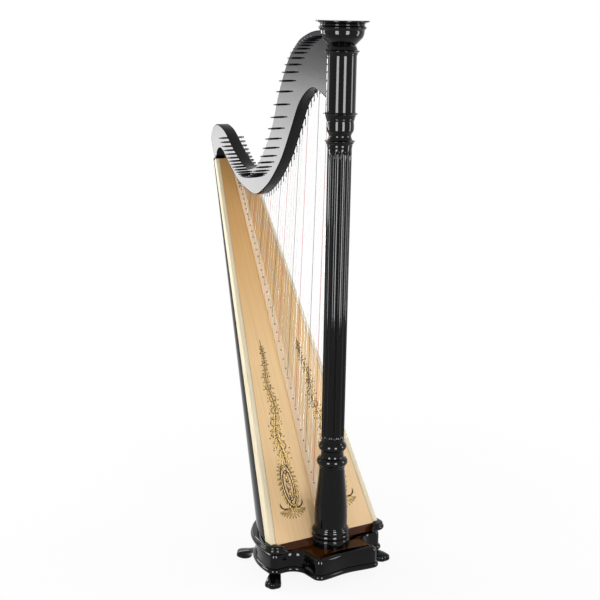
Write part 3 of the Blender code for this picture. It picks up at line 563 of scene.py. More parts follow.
def make_column():
    """Turned foot, head and capital, and a shaft with twelve round-ended flutes.

    A flute's depth across its bay is an ellipse, depth times the root of 1 - (u / width) squared;
    depth and width shrink with the root of 1 - (way past the end) squared at both ends."""
    for name in ("column_head", "column_capital"):
        profile = soften(node_profile(name), LIP)
        add_piece(name + "_turned", [tube(lathe(profile))], LACQUER, replaces=[name])

    foot = lathe(soften(node_profile("column_foot", 0.02), LIP))
    normal = np.array([math.cos(LEAN), 0.0, math.sin(LEAN)])
    ahead = (foot - BOARD_FOOT) @ normal - GAP
    foot -= np.minimum(ahead, 0.0)[..., None] * normal
    foot[..., 2] = np.maximum(foot[..., 2], DECK_Z + GAP)
    add_piece("column_foot_turned", [tube(foot)], LACQUER, replaces=["column_foot"])

    low, high = SHAFT_LOW.z, SHAFT_HIGH.z
    bottom, top, reach_low, reach_high = 0.445, min(1.338, high - 0.004), 0.009, 0.036
    arc = np.sin(np.linspace(0, np.pi / 2, 9))
    z = np.r_[low, low + 0.001, bottom, bottom + reach_low * (1 - arc[::-1])[1:],
              np.linspace(bottom + reach_low, top - reach_high, 12)[1:-1],
              top - reach_high * (1 - arc), top, high - 0.001, high]
    z = np.unique(np.round(z, 6))
    bays, columns, depth, wide, radii = 12, 18, 0.0046, 0.86, (0.0351, 0.0360)
    angle = circle(bays * columns)
    u = 2 * np.mod(angle * bays / (2 * np.pi), 1.0) - 1
    past = np.maximum((bottom + reach_low - z) / reach_low, (z - top + reach_high) / reach_high)
    share = np.sqrt(np.clip(1 - np.clip(past, 0, None) ** 2, 0, 1))[:, None]
    width = wide * np.maximum(share, 1e-6)
    hollow = depth * share * np.sqrt(np.clip(1 - (u[None] / width) ** 2, 0, 1))
    radius = between(*radii, (z - low) / (high - low))[:, None] - hollow
    add_piece("column_shaft_fluted", [tube(turned(z[:, None], radius, angle))], LACQUER,
              replaces=["column_shaft"], sharp=28)


# Base

def base_outline(offset):
    """Plan of the base from its nose round to its back and home, moved outwards by offset.

    Half of it is a shallow cosine hollow, two round corners with a cove between, and a quarter
    ellipse; the other half is its mirror image."""
    nose_x, nose_half, wing_x, half = 0.109, 0.1205, -0.002, 0.2125
    rear_x, rear_reach, out, cove = -0.034, 0.244, 0.026, 0.040
    run = nose_half - out
    y = np.linspace(0, run, 18, endpoint=False)
    parts = [np.stack([nose_x - 0.009 * (1 + np.cos(np.pi * y / run)) / 2, y], 1)]
    for x, y, radius, start, end in ((nose_x - out, run, out, 0, 90),
                                     (wing_x + cove, nose_half + cove, cove, 270, 180),
                                     (wing_x - out, half - out, out, 0, 90)):
        angle = np.radians(np.linspace(start, end, 13))
        parts.append(np.stack([x + radius * np.cos(angle), y + radius * np.sin(angle)], 1))
    angle = np.linspace(0, np.pi / 2, 40)
    parts.append(np.stack([rear_x - rear_reach * np.sin(angle), half * np.cos(angle)], 1))
    plan = np.concatenate(parts)
    plan = np.concatenate([plan, plan[-2:0:-1] * [1, -1]])
    plan = plan[np.linalg.norm(plan - np.roll(plan, 1, 0), axis=1) > 1e-6]
    return plan + offset * side_normals(plan) + [AXIS_X, 0]


def moulded(levels):
    """Plate over the plan whose edge follows (height, offset) pairs."""
    return np.stack([np.insert(base_outline(offset), 2, z, 1) for z, offset in levels])


def shell_depth(t, angle, shrink=0.0, gap=0.0):
    """Depth of the body behind the board: the straight side, then deep times the angle's sine."""
    start = along(EDGE_SIDE, t) + gap
    return start + (along(SHELL_DEPTH, t) - shrink - start) * np.sin(angle)


def body_section(z, count):
    """Outer surface of the body at a height, from one front corner round the back to the other."""
    angle = np.linspace(0, np.pi, count)
    t = np.zeros(count)
    for _ in range(6):
        depth = shell_depth(t, angle)
        t = board_place(z, depth)
    return on_board(t, along(BOARD_HALF, t) * np.cos(angle), depth)


def make_base():
    """Bead ring, case with its broad rounded deck edge, and the moulding that hugs the body; the
    case's upward faces carry a painted reflection of the board.
    """
    bead = [(0.0350, -0.0120), (0.0350, -0.0070), (0.0372, -0.0022), (0.0405, 0.0000),
            (0.0455, 0.0000), (0.0492, -0.0022), (0.0520, -0.0060), (0.0520, -0.0120)]
    add_piece("base_bead_ring", [tube(moulded(soften(bead, 0.0028, 3)))], LACQUER,
              replaces=["base_bead"])
    case = [(0.0523, -0.0120), (0.0523, -0.0072), (0.0533, -0.0070), (0.0800, -0.0070),
            (0.0900, -0.0078), (0.0978, -0.0125), (0.1022, -0.0210), (0.1030, -0.0310)]
    case = add_piece("base_case", [tube(moulded(soften(case, 0.008, 5)))], LACQUER,
                     replaces=["base_box"])
    # The upward faces take the painted reflection of the board
    facing = vectors(case.data.polygons, "normal")[:, 2]
    add_second_material(case, DECK_PAINTED_REFLECTION, facing > DECK_FACING)

    profile = soften([(0.1033, 0.0010), (0.1068, 0.0070), (0.1123, 0.0090), (0.1173, 0.0075),
                      (0.1195, 0.0042), (0.1238, 0.0055), (0.1275, 0.0020), (0.1280, -0.0030)],
                     0.0022, 3)
    low, rim, count = 0.1033, 0.128, 150
    # Places of the plan round the back, from one front end to the other
    plan = base_outline(profile[0][1])
    order = np.argsort(np.mod(np.arctan2(plan[:, 1], plan[:, 0] - AXIS_X + 0.05), 2 * np.pi))
    plan = plan[order]
    keep = order[(plan[:, 0] < AXIS_X - 0.06)
                 | ((plan[:, 0] < AXIS_X + 0.03) & (np.abs(plan[:, 1]) > 0.1575))]
    rows = [np.column_stack([spaced(base_outline(offset)[keep], count), np.full(count, z)])
            for z, offset in profile]
    inner = spaced(body_section(rim, 200), count)
    inner[:, 2] = rim
    foot = inner.copy()
    foot[:, 2] = low
    skin = np.stack(rows + [inner, foot])
    run = np.r_[0, np.cumsum(np.linalg.norm(np.diff(skin[0], axis=0), axis=1))]
    end = np.minimum(run, run[-1] - run)
    swell = np.clip(end / 0.030, 0.0, 1.0)
    swell = 0.42 + 0.58 * np.sqrt(1 - (1 - swell) ** 2)
    skin[..., 2] = low + (skin[..., 2] - low) * swell
    add_piece("body_collar", [tube(skin.transpose(1, 0, 2))], LACQUER, replaces=["base_collar"])


def make_feet():
    """Carved paws: oval sections stacked from sole to ankle, their front swollen into toes.

    The swelling goes with the size of the cosine of 2.5 times the angle, and fades towards the
    sides, the ankle and the sole."""
    # height, middle, half length, half width
    levels = np.array([(0.0347, -0.0150, 0.0210, 0.0170), (0.0330, -0.0110, 0.0215, 0.0170),
                       (0.0280, 0.0030, 0.0240, 0.0185), (0.0240, 0.0130, 0.0275, 0.0205),
                       (0.0200, 0.0220, 0.0290, 0.0220), (0.0160, 0.0270, 0.0285, 0.0237),
                       (0.0120, 0.0290, 0.0270, 0.0245), (0.0080, 0.0300, 0.0265, 0.0245),
                       (0.0040, 0.0300, 0.0250, 0.0235), (0.0010, 0.0295, 0.0225, 0.0212),
                       (0.0000, 0.0290, 0.0205, 0.0195)])
    levels = through(levels, 3)
    z, middle, long, wide = levels.T[..., None]
    angle = np.linspace(-np.pi, np.pi, 72, endpoint=False)[None]
    fan = np.clip(1.25 - np.abs(angle) / np.radians(72), 0, 0.25) * 4
    height = np.clip(np.minimum((0.027 - z) / 0.010, (z + 0.004) / 0.006), 0, 1)
    lobe = np.abs(np.cos(2.5 * angle))
    swell = 1 + fan * height * (0.13 * lobe - 0.07)
    claw = fan * np.exp(-((z - 0.0045) / 0.0035) ** 2) * 0.03 * lobe
    x = middle + long * np.cos(angle) * (swell + claw)
    y = wide * np.sin(angle) * (swell + claw)
    local = np.stack([x, y, np.maximum(z, 0.0) + 0 * x], -1)
    feet = (("foot_front_left", -0.028, 0.185, 42), ("foot_front_right", -0.028, -0.185, -42),
            ("foot_rear_left", -0.2272, 0.1473, 166), ("foot_rear_right", -0.2272, -0.1473, -166))
    for name, x, y, degrees in feet:
        turn = math.radians(degrees)
        place = local.copy()
        place[..., 0] = AXIS_X + x + local[..., 0] * math.cos(turn) - local[..., 1] * math.sin(turn)
        place[..., 1] = y + local[..., 0] * math.sin(turn) + local[..., 1] * math.cos(turn)
        add_piece(name.replace("foot", "paw"), [tube(place)], LACQUER, replaces=[name], sharp=50)


# Body

def shell_skin(shrink, count, rows):
    """Grid of the body's skin, shrink inside its outer surface, from the deck to the top end."""
    angle = np.linspace(0, np.pi, count)
    low = np.zeros(count)
    for _ in range(6):
        low = board_place(DECK_Z + GAP, shell_depth(low, angle, shrink, GAP))
    t = between(low[None], BOARD_LENGTH, np.linspace(0, 1, rows)[:, None])
    return on_board(t, (along(BOARD_HALF, t) - shrink) * np.cos(angle),
                    shell_depth(t, angle, shrink, GAP))


def make_body():
    """Half-round shell with four sound holes, and the sill below the board, coloured as a painted
    reflection of the board in the deck.

    A hole is two half circles with straight sides between; they get narrower up the body."""
    outer, inner = shell_skin(0.0, 97, 70), shell_skin(SHELL_WALL, 97, 70)
    ring = np.concatenate([outer, inner[:, ::-1]], 1)
    shell = add_piece("body_shell_skin", [tube(ring)], LACQUER, replaces=["body_shell"], sharp=30)
    cutters = []
    first, pitch, half_widths, length = 0.30, 0.225, (0.032, 0.017), 0.135
    for k in range(4):
        middle, half = first + pitch * k, between(*half_widths, k / 3)
        straight = length / 2 - half
        angle = circle(48)
        t = middle + np.sign(np.cos(angle) + 1e-9) * straight + half * np.cos(angle)
        deep = along(SHELL_DEPTH, middle)
        cutters.append(tube([on_board(t, half * np.sin(angle), deep + way)
                             for way in (-0.05, 0.05)]))
    cutter = add_piece("sound_hole_cutter", cutters, LACQUER)
    cut = shell.modifiers.new("sound_holes", "BOOLEAN")
    cut.operation = "DIFFERENCE"
    cut.solver = "EXACT"
    cut.object = cutter
    graph = bpy.context.evaluated_depsgraph_get()
    mesh = bpy.data.meshes.new_from_object(shell.evaluated_get(graph))
    shell.modifiers.clear()
    shell.data = mesh
    bpy.data.objects.remove(cutter)
    mesh.set_sharp_from_angle(angle=math.radians(30))

    half, side = along(BOARD_HALF, 0.0), along(EDGE_SIDE, 0.0)
    slant = 0.008
    section = soften([(-half, 0.0), (half, 0.0), (half, side), (half - slant, side + slant),
                      (slant - half, side + slant), (-half, side)], 0.0025, 4, True)
    rows = []
    for t in (None, -GAP - 0.0008, -GAP):
        pull = 0.0006 if t == -GAP else 0.0
        y = section[:, 0] * (1 - pull / half)
        depth = np.maximum(section[:, 1], pull)
        if t is None:
            t = board_place(DECK_Z + GAP, depth)
        rows.append(on_board(t, y, depth))
    # The sill's brown is a painted reflection of the board
    add_piece("body_sill", [tube(rows)], SILL_PAINTED_REFLECTION)


def make_borders():
    """Pale strips over both long edges, with a rounded outer corner."""
    for name, side in (("soundboard_edge_left", 1), ("soundboard_edge_right", -1)):
        rows = []
        for t in np.linspace(0, BOARD_LENGTH, 40):
            half, front, deep = along(BOARD_HALF, t), along(EDGE_FRONT, t), along(EDGE_SIDE, t)
            outline = [(half, 0.0), (half - front, 0.0), (half - front, deep), (half, deep)]
            soft = np.concatenate([soften([outline[3], outline[0], outline[1]], LIP, 6)[:-1],
                                   [outline[1], outline[2]]])
            rows.append(on_board(t, side * soft[:, 0], soft[:, 1]))
        add_piece(name.replace("soundboard_edge", "border"), [tube(rows)], MAPLE,
                  replaces=[name], sharp=40)


# Neck and shoulder

def neck_outline(count=420):
    """Closed outline of the neck in its plane: smooth upper and lower edges and the leg's seat."""
    upper = through(NECK_UPPER, 10)
    lower = through(NECK_LOWER, 10)
    return np.concatenate([spaced(upper, count // 2), LEG_SEAT, spaced(lower, count // 2)[::-1]])


def rounded_plate(outline, near, far, edge):
    """Skin of a plate across the neck: quarter-round edges and a thin flat band inside each."""
    out = side_normals(outline)
    area = np.sum(outline[:, 0] * np.roll(outline[:, 1], -1)
                  - np.roll(outline[:, 0], -1) * outline[:, 1])
    out = out if area > 0 else -out
    arc = np.linspace(0, np.pi / 2, 6)
    inset = np.r_[edge + 0.0005, edge * (1 - np.sin(arc))]
    across = np.r_[0.0, edge * (1 - np.cos(arc))]
    rows = []
    for drop, n in zip(np.r_[inset, inset[::-1]], np.r_[near + across, far - across[::-1]]):
        moved = outline - drop * out
        rows.append(on_neck(moved[:, 0], n, moved[:, 1]))
    return np.stack(rows)


def make_neck():
    """Curved neck plate, and the shoulder block with its knee beside the neck's leg."""
    plate = rounded_plate(neck_outline(), NECK_NEAR, NECK_FAR, NECK_EDGE)
    add_piece("neck_plate", [tube(plate)], LACQUER, replaces=["neck"], sharp=40)

    t = BOARD_LENGTH
    half, start, deep = along(BOARD_HALF, t), along(EDGE_SIDE, t), along(SHELL_DEPTH, t)
    angle = np.linspace(0, np.pi, 33)
    arc = np.stack([-half * np.cos(angle), start + (deep - start) * np.sin(angle)], 1)
    section = soften(np.concatenate([[[-half, 0.0]], arc, [[half, 0.0]]]), 0.002, 3, True)
    rows = []
    for rise, shrink in ((GAP, 0.0), (0.0065, 0.0), (0.0095, 0.0010), (0.0113, 0.0030),
                         (0.0120, 0.0054), (0.0120, 0.0100)):
        y = section[:, 0] * (1 - shrink / half)
        depth = (section[:, 1] - 0.02) * (1 - shrink / half) + 0.02
        depth = np.maximum(depth, 0.5 * shrink)
        rows.append(on_board(BOARD_LENGTH + rise, y, depth))
    parts = [tube(rows)]

    near = NECK_FAR + GAP
    knee = through([(-0.6095, -0.6280, 1.2470, 1.2340, 0.0360),
                    (-0.6120, -0.6330, 1.2560, 1.2500, 0.0340),
                    (-0.6145, -0.6380, 1.2700, 1.2700, 0.0280),
                    (-0.6165, -0.6400, 1.2830, 1.2830, 0.0190),
                    (-0.6190, -0.6400, 1.2915, 1.2915, 0.0100)], 4)
    rows = []
    for front, rear, z_front, z_rear, thick in knee:
        corner = [(front, near, z_front), (rear, near, z_rear), (rear, near + thick, z_rear),
                  (front, near + thick, z_front)]
        rows.append(on_neck(*soften(corner, LIP, 4, True).T))
    parts.append(tube(rows))
    add_piece("shoulder_and_knee", parts, LACQUER, replaces=["shoulder_block"], sharp=40)


# Strings, pins and levers

def spread(even, middle, last):
    """Shares of the way from the first string to each: even steps, then ever closer ones."""
    steps = np.r_[np.ones(even), np.linspace(middle, last, STRING_COUNT - 1 - even)]
    way = np.r_[0.0, np.cumsum(steps)]
    return way / way[-1]


STRING_S = between(-0.062, -0.6047 + 0.0539, spread(14, 0.987, 0.686))
HOLE_T = between(0.0935, BOARD_LENGTH - 0.1126, spread(12, 0.918, 0.466))
RADIUS = np.linspace(*STRING_RADIUS, STRING_COUNT)
LEVERS = [np.array(joint["pos_m"]) for joint in frame["joints"]]


def height_on(line, s):
    """Height of a given line of the neck at each s."""
    curve = through(line, 16)
    order = np.argsort(curve[:, 0])
    return np.interp(s, curve[order, 0], curve[order, 1])


TUNING_S = STRING_S - TUNING_RADIUS - RADIUS - GAP
TUNING_Z = height_on(PIN_LINE, TUNING_S)
BRIDGE_S = STRING_S - BRIDGE_RADIUS - RADIUS - GAP
HOLE_Z = on_board(HOLE_T, 0.0, 0.0)[:, 2]
LEVER_Z = np.array([place[2] for place in LEVERS])
# Share of a string's length from bridge pin to board that lies above its lever
SEMITONE = 1.0 - 2.0 ** (-1.0 / 12.0)
BRIDGE_Z = LEVER_Z + (LEVER_Z - HOLE_Z) * SEMITONE / (1.0 - SEMITONE)


def make_rib():
    """Hardwood rib up the middle of the board, with a dark eyelet round each string's hole."""
    low, high = HOLE_T[0] - 0.022, BOARD_LENGTH - 0.030
    rows = []
    edge = 0.0008
    for t in np.r_[low, low + edge, np.linspace(low + 0.01, high - 0.01, 30), high - edge, high]:
        half = between(0.017, 0.012, (t - low) / (high - low))
        pull = edge if t in (low, high) else 0.0
        section = soften([(-half, -GAP), (half, -GAP), (half, pull - RIB_TOP),
                          (-half, pull - RIB_TOP)], 0.0012, 3, True)
        rows.append(on_board(t, section[:, 0], np.minimum(section[:, 1], -GAP)))
    add_piece("rib_strip", [tube(rows)], RIB_WOOD, replaces=["string_rib"],
              sharp=40)

    angle = circle(16)
    profile = [(0.0010, 0.0), (0.0011, 0.0006), (0.0016, 0.0009), (0.0023, 0.0006), (0.0026, 0.0),
               (0.0018, -0.0002)]
    parts = []
    for t in HOLE_T:
        rings = [on_board(t + r * np.cos(angle), r * np.sin(angle), -RIB_TOP - h)
                 for r, h in profile + profile[:1]]
        parts.append(tube(rings, caps=False))
    add_piece("string_eyelets", parts, SATIN_BLACK, sharp=60)


def string_route(k):
    """Points of a string: its hole, its bridge pin, up to its tuning pin and three turns round it.

    The turns are a helix whose radius is the pin's and the string's together."""
    hole = on_board(HOLE_T[k], 0.0, -RIB_TOP + 0.004)
    bridge = on_neck(STRING_S[k], STRING_ACROSS, BRIDGE_Z[k])
    reach = TUNING_RADIUS + RADIUS[k]
    steps = 14 * COIL_TURNS
    angle = np.linspace(0, 2 * np.pi * COIL_TURNS, steps + 1)
    across = STRING_ACROSS + angle / (2 * np.pi) * 2.15 * RADIUS[k]
    coil = on_neck(TUNING_S[k] + reach * np.cos(angle), across, TUNING_Z[k] + reach * np.sin(angle))
    way = np.linspace(0, 1, 7)[:-1, None]
    rise = bridge + (coil[0] - bridge) * way
    return np.concatenate([hole + (bridge - hole) * np.linspace(0, 1, 12)[:-1, None], rise, coil])


def make_strings():
    """Forty strings by colour: red C, black F, steel-wound bass and clear for the rest."""
    groups = {"red": RED_STRINGS, "black": BLACK_STRINGS}
    taken = RED_STRINGS + BLACK_STRINGS
    groups["wound"] = [k for k in range(WOUND_COUNT) if k not in taken]
    groups["clear"] = [k for k in range(WOUND_COUNT, STRING_COUNT) if k not in taken]
    for color, members in groups.items():
        parts = [tube(wire(string_route(k), RADIUS[k])) for k in members]
        add_piece("strings_" + color, parts, STRING_FINISH[color], sharp=80)


def pin_rows(s, z, levels, sides=16, squareness=None):
    """Pin across the neck from (n, radius) levels; a squareness of 1 makes a level four-sided."""
    angle = circle(sides) + np.pi / sides
    rows = []
    for k, (n, radius) in enumerate(levels):
        square = 0.0 if squareness is None else squareness[k]
        flat = 1.0 / np.maximum(np.abs(np.cos(angle)), np.abs(np.sin(angle)))
        reach = radius * between(1.0, 0.80 * flat, square)
        rows.append(on_neck(s + reach * np.cos(angle), n, z + reach * np.sin(angle)))
    return np.stack(rows)


def make_pins():
    """Tuning pins with square tapered keys on the near side, and grooved brass bridge pins."""
    near, far = NECK_NEAR - TUNING_NEAR, NECK_FAR + TUNING_FAR
    levels = [(near, 0.52), (near + 0.0006, 0.66), (near + 0.0100, 0.84), (near + 0.0135, 0.98),
              (near + 0.0150, 1.0), (NECK_NEAR + 0.001, 1.0), (NECK_FAR - 0.001, 1.0),
              (far - 0.0010, 1.0), (far - 0.0003, 0.88), (far, 0.66)]
    levels = [(n, share * TUNING_RADIUS) for n, share in levels]
    square = [1, 1, 1, 0.3, 0, 0, 0, 0, 0, 0]
    parts = [tube(pin_rows(s, z, levels, 16, square)) for s, z in zip(TUNING_S, TUNING_Z)]
    add_piece("tuning_pins", parts, BLUED_STEEL, sharp=40)

    tip = NECK_FAR + BRIDGE_FAR
    groove = 0.0009
    levels = [(NECK_FAR - 0.001, BRIDGE_RADIUS), (STRING_ACROSS - 0.0020, BRIDGE_RADIUS),
              (STRING_ACROSS - groove, BRIDGE_RADIUS), (STRING_ACROSS, 0.0011),
              (STRING_ACROSS + groove, BRIDGE_RADIUS), (tip - 0.0016, BRIDGE_RADIUS),
              (tip - 0.0012, 0.0018), (tip - 0.0005, 0.0018), (tip, BRIDGE_RADIUS)]
    parts = [tube(pin_rows(s, z, levels, 12)) for s, z in zip(BRIDGE_S, BRIDGE_Z)]
    add_piece("bridge_pins", parts, BRASS, sharp=40)


def make_levers():
    """Forty sharping levers: a hub, a round-tipped handle and the peg that stops the string.

    Hub and peg are turned about lines along the hinge; the handle is a round section whose radius
    swells towards its tip. The peg's reach from the hinge ends just short of the string."""
    u = np.array([math.cos(NECK_YAW), math.sin(NECK_YAW), 0.0])
    v = np.array([-math.sin(NECK_YAW), math.cos(NECK_YAW), 0.0])
    w = np.array([0.0, 0.0, 1.0])

    def turned_on(centre, axis, first, second, levels, sides):
        angle = circle(sides)
        rows = [centre + h * axis + r * (np.cos(angle)[:, None] * first
                                         + np.sin(angle)[:, None] * second) for h, r in levels]
        return tube(rows)

    hub_radius, peg_radius, peg_out, clear = 0.0035, 0.0010, 0.0012, 0.0002
    bare, beside = 0.0045, 0.0046
    hub = [(-0.0018, 0.0024), (-0.0015, 0.0033), (-0.0009, hub_radius), (0.0009, hub_radius),
           (0.0015, 0.0033), (0.0018, 0.0024)]
    handle = [(0.0020, 0.0010), (0.0060, 0.0011), (0.0150, 0.0013), (0.0195, 0.0014),
              (0.0209, 0.0012), (0.0215, 0.0007)]
    peg = [(-0.0042, 0.0007), (-0.0038, peg_radius), (-0.0014, peg_radius)]
    hole_n = (AXIS_X - on_board(HOLE_T, 0.0, 0.0)[:, 0]) * math.sin(NECK_YAW)
    string_n = hole_n + (STRING_ACROSS - hole_n) * (1.0 - SEMITONE)
    reach = string_n - RADIUS - (NECK_FAR + GAP + hub_radius) - peg_radius - clear
    drop = np.sqrt(reach ** 2 - peg_out ** 2)
    for k, place in enumerate(LEVERS):
        parts = [turned_on(place, u, v, w, hub, 16), turned_on(place, -w, u, v, handle, 10),
                 turned_on(place - drop[k] * w + peg_out * v, u, v, w, peg, 8)]
        name = "lever_%02d" % (k + 1)
        item = add_piece(name + "_arm", parts, LEVER_STEEL, body=name + "_body", replaces=[name],
                         sharp=50)
        below = vectors(item.data.polygons, "center")[:, 2] < place[2] - bare
        add_second_material(item, SATIN_BLACK, below)

    parts = []
    for place in LEVERS:
        seat = place + beside * u - v * (hub_radius + GAP)
        corner = soften([(-0.0022, -0.0052), (0.0022, -0.0052), (0.0022, 0.0052),
                         (-0.0022, 0.0052)], 0.0012, 3, True)
        rows = [seat + corner[:, :1] * u + corner[:, 1:] * w + h * v for h in (0.0, 0.0010)]
        parts.append(tube(rows))
        screw = [(0.0010, 0.0016), (0.0016, 0.0016), (0.0020, 0.0011)]
        parts.append(turned_on(seat, v, w, u, screw, 12))
    add_piece("lever_plates", parts, LEVER_STEEL, sharp=40)


# Gilt garland

def lens_strip(path, width, height, base):
    """Low rounded strip on the board: a lens section of a width carried along a path of (t, side).

    Its top is a low arch of the given height above base, and its underside is flat."""
    normal = side_normals(path, closed=False)
    across = np.array([-1.0, -0.6, 0.0, 0.6, 1.0, 0.0])
    rise = np.array([0.0, 0.7, 1.0, 0.7, 0.0, 0.0])
    width = np.broadcast_to(np.asarray(width, float), (len(path),))
    flat = path[:, None] + normal[:, None] * (across[None, :, None] * width[:, None, None])
    lift = base + height * rise[None] * np.minimum(1.0, width / 0.0006)[:, None]
    return on_board(flat[..., 0], flat[..., 1], -lift)


def leaf_path(root, angle, length, bend, steps=8):
    """Middle line of a leaf: an arc that leaves root at an angle and turns by bend."""
    way = np.linspace(0, 1, steps)
    turn = angle + bend * way
    step = length / (steps - 1)
    run = np.stack([np.cos(turn), np.sin(turn)], 1)[:-1] * step
    return np.asarray(root) + np.concatenate([[[0, 0]], np.cumsum(run, 0)])


def leaf_width(width, steps=8):
    """Half width along a leaf: the sine of half a turn by the way to the power of 0.75.

    It is full two fifths of the way along, and a small part of that is left at both ends."""
    way = np.linspace(0, 1, steps)
    return width * np.maximum(np.sin(np.pi * way ** 0.75), 0.06)


def garland(side):
    """Strokes of one panel, (path, half widths, gilded), in board places mirrored by side.

    A waving stem carries leaves, curls and berries to an oval medallion and a fan of leaves."""
    strokes = []

    def leaf(root, angle, length, bend, width, steps=8):
        path = leaf_path(root, angle, length, bend, steps)
        strokes.append((path, leaf_width(width, steps), True))

    def curl(root, angle, length, bend, steps=16):
        strokes.append((leaf_path(root, angle, length, bend, steps),
                        np.linspace(0.0017, 0.0010, steps), False))

    def berry(centre, size):
        way = np.array([1.0, 0.35, -0.35, -1.0])[:, None] * [size, 0.0]
        strokes.append((centre + way, size * np.array([0.35, 1.0, 1.0, 0.35]), False))

    top, foot = np.array([0.640, -0.068]), np.array([0.076, -0.097])
    way = np.linspace(0, 1, 90)
    axis = top + (foot - top) * way[:, None]
    calm = np.clip(way * 3, 0, 1) * np.clip(4 * (1 - way), 0, 1)
    axis[:, 1] += 0.0070 * np.sin(way * 6.5 * np.pi) * calm
    strokes.append((axis, between(0.0011, 0.0020, way), False))
    for k in range(19):
        share = 0.045 + 0.0345 * k
        root = np.array([np.interp(share, way, axis[:, 0]), np.interp(share, way, axis[:, 1])])
        size = 0.009 + 0.031 * min(1.0, share * 1.4)
        for turn in (-1, 1):
            leaf(root, np.pi + turn * 0.80, size, -turn * 1.2, 0.095 * size)
            if k % 2:
                curl(root, np.pi + turn * 1.30, size * 1.4, turn * 4.0)
                berry(root + [0.002, turn * size * 0.78], 0.0023)
            else:
                leaf(root + [0.003, 0], turn * 1.1, size * 0.65, turn * 0.9, 0.075 * size)
                berry(root + [-size * 0.30, turn * size * 0.62], 0.0020)

    centre = np.array([0.170, -0.092])
    angle = np.linspace(0, 2 * np.pi, 49)
    ring = np.stack([0.0600 * np.cos(angle), 0.0190 * np.sin(angle)], 1)
    for scale, thick, gilded in ((1.14, 0.0018, False), (1.0, 0.0014, True), (0.80, 0.0016, False)):
        strokes.append((centre + scale * ring, thick + 0 * angle, gilded))
    for place, count, reach in ((0.0, 8, 0.0105), (0.026, 6, 0.0075), (-0.026, 6, 0.0075)):
        for k in range(count):
            leaf(centre + [place, 0], 2 * np.pi * k / count, reach, 0.6, 0.0016)
        berry(centre + [place, 0], 0.0024)
    for turn in (-1, 1):
        for place in (0.013, -0.013, 0.039, -0.039):
            curl(centre + [place, 0], turn * 1.9, 0.012, -turn * 3.6, 12)
        for k in range(12):
            around = 0.30 + 0.215 * k
            root = centre + [0.0675 * math.cos(around), turn * 0.0222 * math.sin(around)]
            leaf(root, turn * (around + 0.35), 0.0150, turn * 0.9, 0.0019)
            if k % 2:
                curl(root, turn * (around - 0.5), 0.0125, turn * 3.0, 10)
            berry(centre + [0.071 * math.cos(around + 0.1), turn * 0.0272 * math.sin(around + 0.1)],
                  0.0013)
        for k in range(6):
            leaf(foot + [0.026 - 0.001 * k, turn * 0.0040 * k], np.pi - turn * 0.24 * k,
                 0.036 - 0.0016 * k, -turn * 0.4, 0.0017, 10)
            curl(foot + [0.026, turn * 0.0052 * k], np.pi - turn * (0.14 + 0.26 * k), 0.030,
                 -turn * 2.4)
        berry(foot + [0.012, turn * 0.016], 0.0019)
    return [(path * [1, -side], width, gilded) for path, width, gilded in strokes]


def top_motif():
    """Small spray at the rib's upper end."""
    strokes = []
    for k in range(6):
        for turn in (-1, 1):
            root = np.array([1.222 - 0.012 * k, 0.0])
            path = leaf_path(root, np.pi + turn * 0.9, 0.0105, -turn * 1.0)
            strokes.append((path, leaf_width(0.0014), True))
    stem = np.stack([np.linspace(1.226, 1.150, 20), np.zeros(20)], 1)
    strokes.append((stem, 0.0006 + 0 * stem[:, 0], False))
    return strokes


def make_garlands():
    """Umber strokes, and gilt laid on the wider umber of leaves and rings, on panels and rib."""
    for name, strokes, base in (("garland_left", garland(1), 0.0),
                                ("garland_right", garland(-1), 0.0),
                                ("rib_spray", top_motif(), RIB_TOP)):
        shade = [tube(lens_strip(path, width + 0.0014 * gilded, 0.00012, base))
                 for path, width, gilded in strokes]
        add_piece(name + "_shade", shade, UMBER, sharp=80)
        leaves = [tube(lens_strip(path + [0.0003, 0.0], width, 0.00030, base + 0.00004))
                  for path, width, gilded in strokes if gilded]
        add_piece(name + "_gilt", leaves, GILT, sharp=80)


make_column()
make_base()
make_feet()
make_body()
make_borders()
make_neck()
make_rib()
make_strings()
make_pins()
make_levers()
make_garlands()
NODES["soundboard"].data.materials.clear()
NODES["soundboard"].data.materials.append(SPRUCE)


# Floor, lights and background

def white_to_rays(tree, shader, white, share=1.0):
    """Shader that gives way to plain white wherever camera, mirror or glass rays arrive."""
    ray = add_node(tree, "LightPath").outputs
    seen = add_math(tree, "MAXIMUM", ray["Is Camera Ray"], ray["Is Glossy Ray"])
    seen = add_math(tree, "MAXIMUM", seen, ray["Is Transmission Ray"])
    seen = add_math(tree, "MULTIPLY", seen, share)
    return add_node(tree, "MixShader", {0: seen, 1: shader, 2: white}).outputs[0]


def flat_sheet(name, corners, material):
    """Flat four-cornered object of one material."""
    mesh = bpy.data.meshes.new(name)
    mesh.from_pydata(corners, [], [(0, 1, 2, 3)])
    mesh.materials.append(material)
    return new_object(name, mesh)


def make_floor():
    """Wide pale floor that reads as white and keeps a soft shadow of the harp."""
    half = 40.0
    material, tree, shader = new_material("studio_floor", Base_Color=(0.86, 0.86, 0.86, 1),
                                          Roughness=0.9)
    glow = add_node(tree, "Emission", {"Color": (1, 1, 1, 1), "Strength": 1.0}).outputs[0]
    place = add_node(tree, "TexCoord").outputs["Object"]
    far = add_node(tree, "VectorMath", {0: place}, operation="LENGTH").outputs["Value"]
    fade = add_range(tree, far, 0.5, 1.8, 0.90, 1.0)
    feed(tree, tree.nodes["Material Output"].inputs[0],
         white_to_rays(tree, shader.outputs[0], glow, fade))
    floor = flat_sheet("studio_floor", [(-half, -half, 0), (half, -half, 0), (half, half, 0),
                                        (-half, half, 0)], material)


def make_world(ambient):
    """White room: plain white to camera, mirror and glass rays, softer as a light."""
    world = bpy.data.worlds.new("studio")
    world.use_nodes = True
    tree = world.node_tree
    tree.nodes.clear()
    soft, white = (add_node(tree, "Background", {"Color": (1, 1, 1, 1), "Strength": strength})
                   for strength in (ambient, 1.0))
    add_node(tree, "OutputWorld", {0: white_to_rays(tree, soft.outputs[0], white.outputs[0])})
    bpy.context.scene.world = world


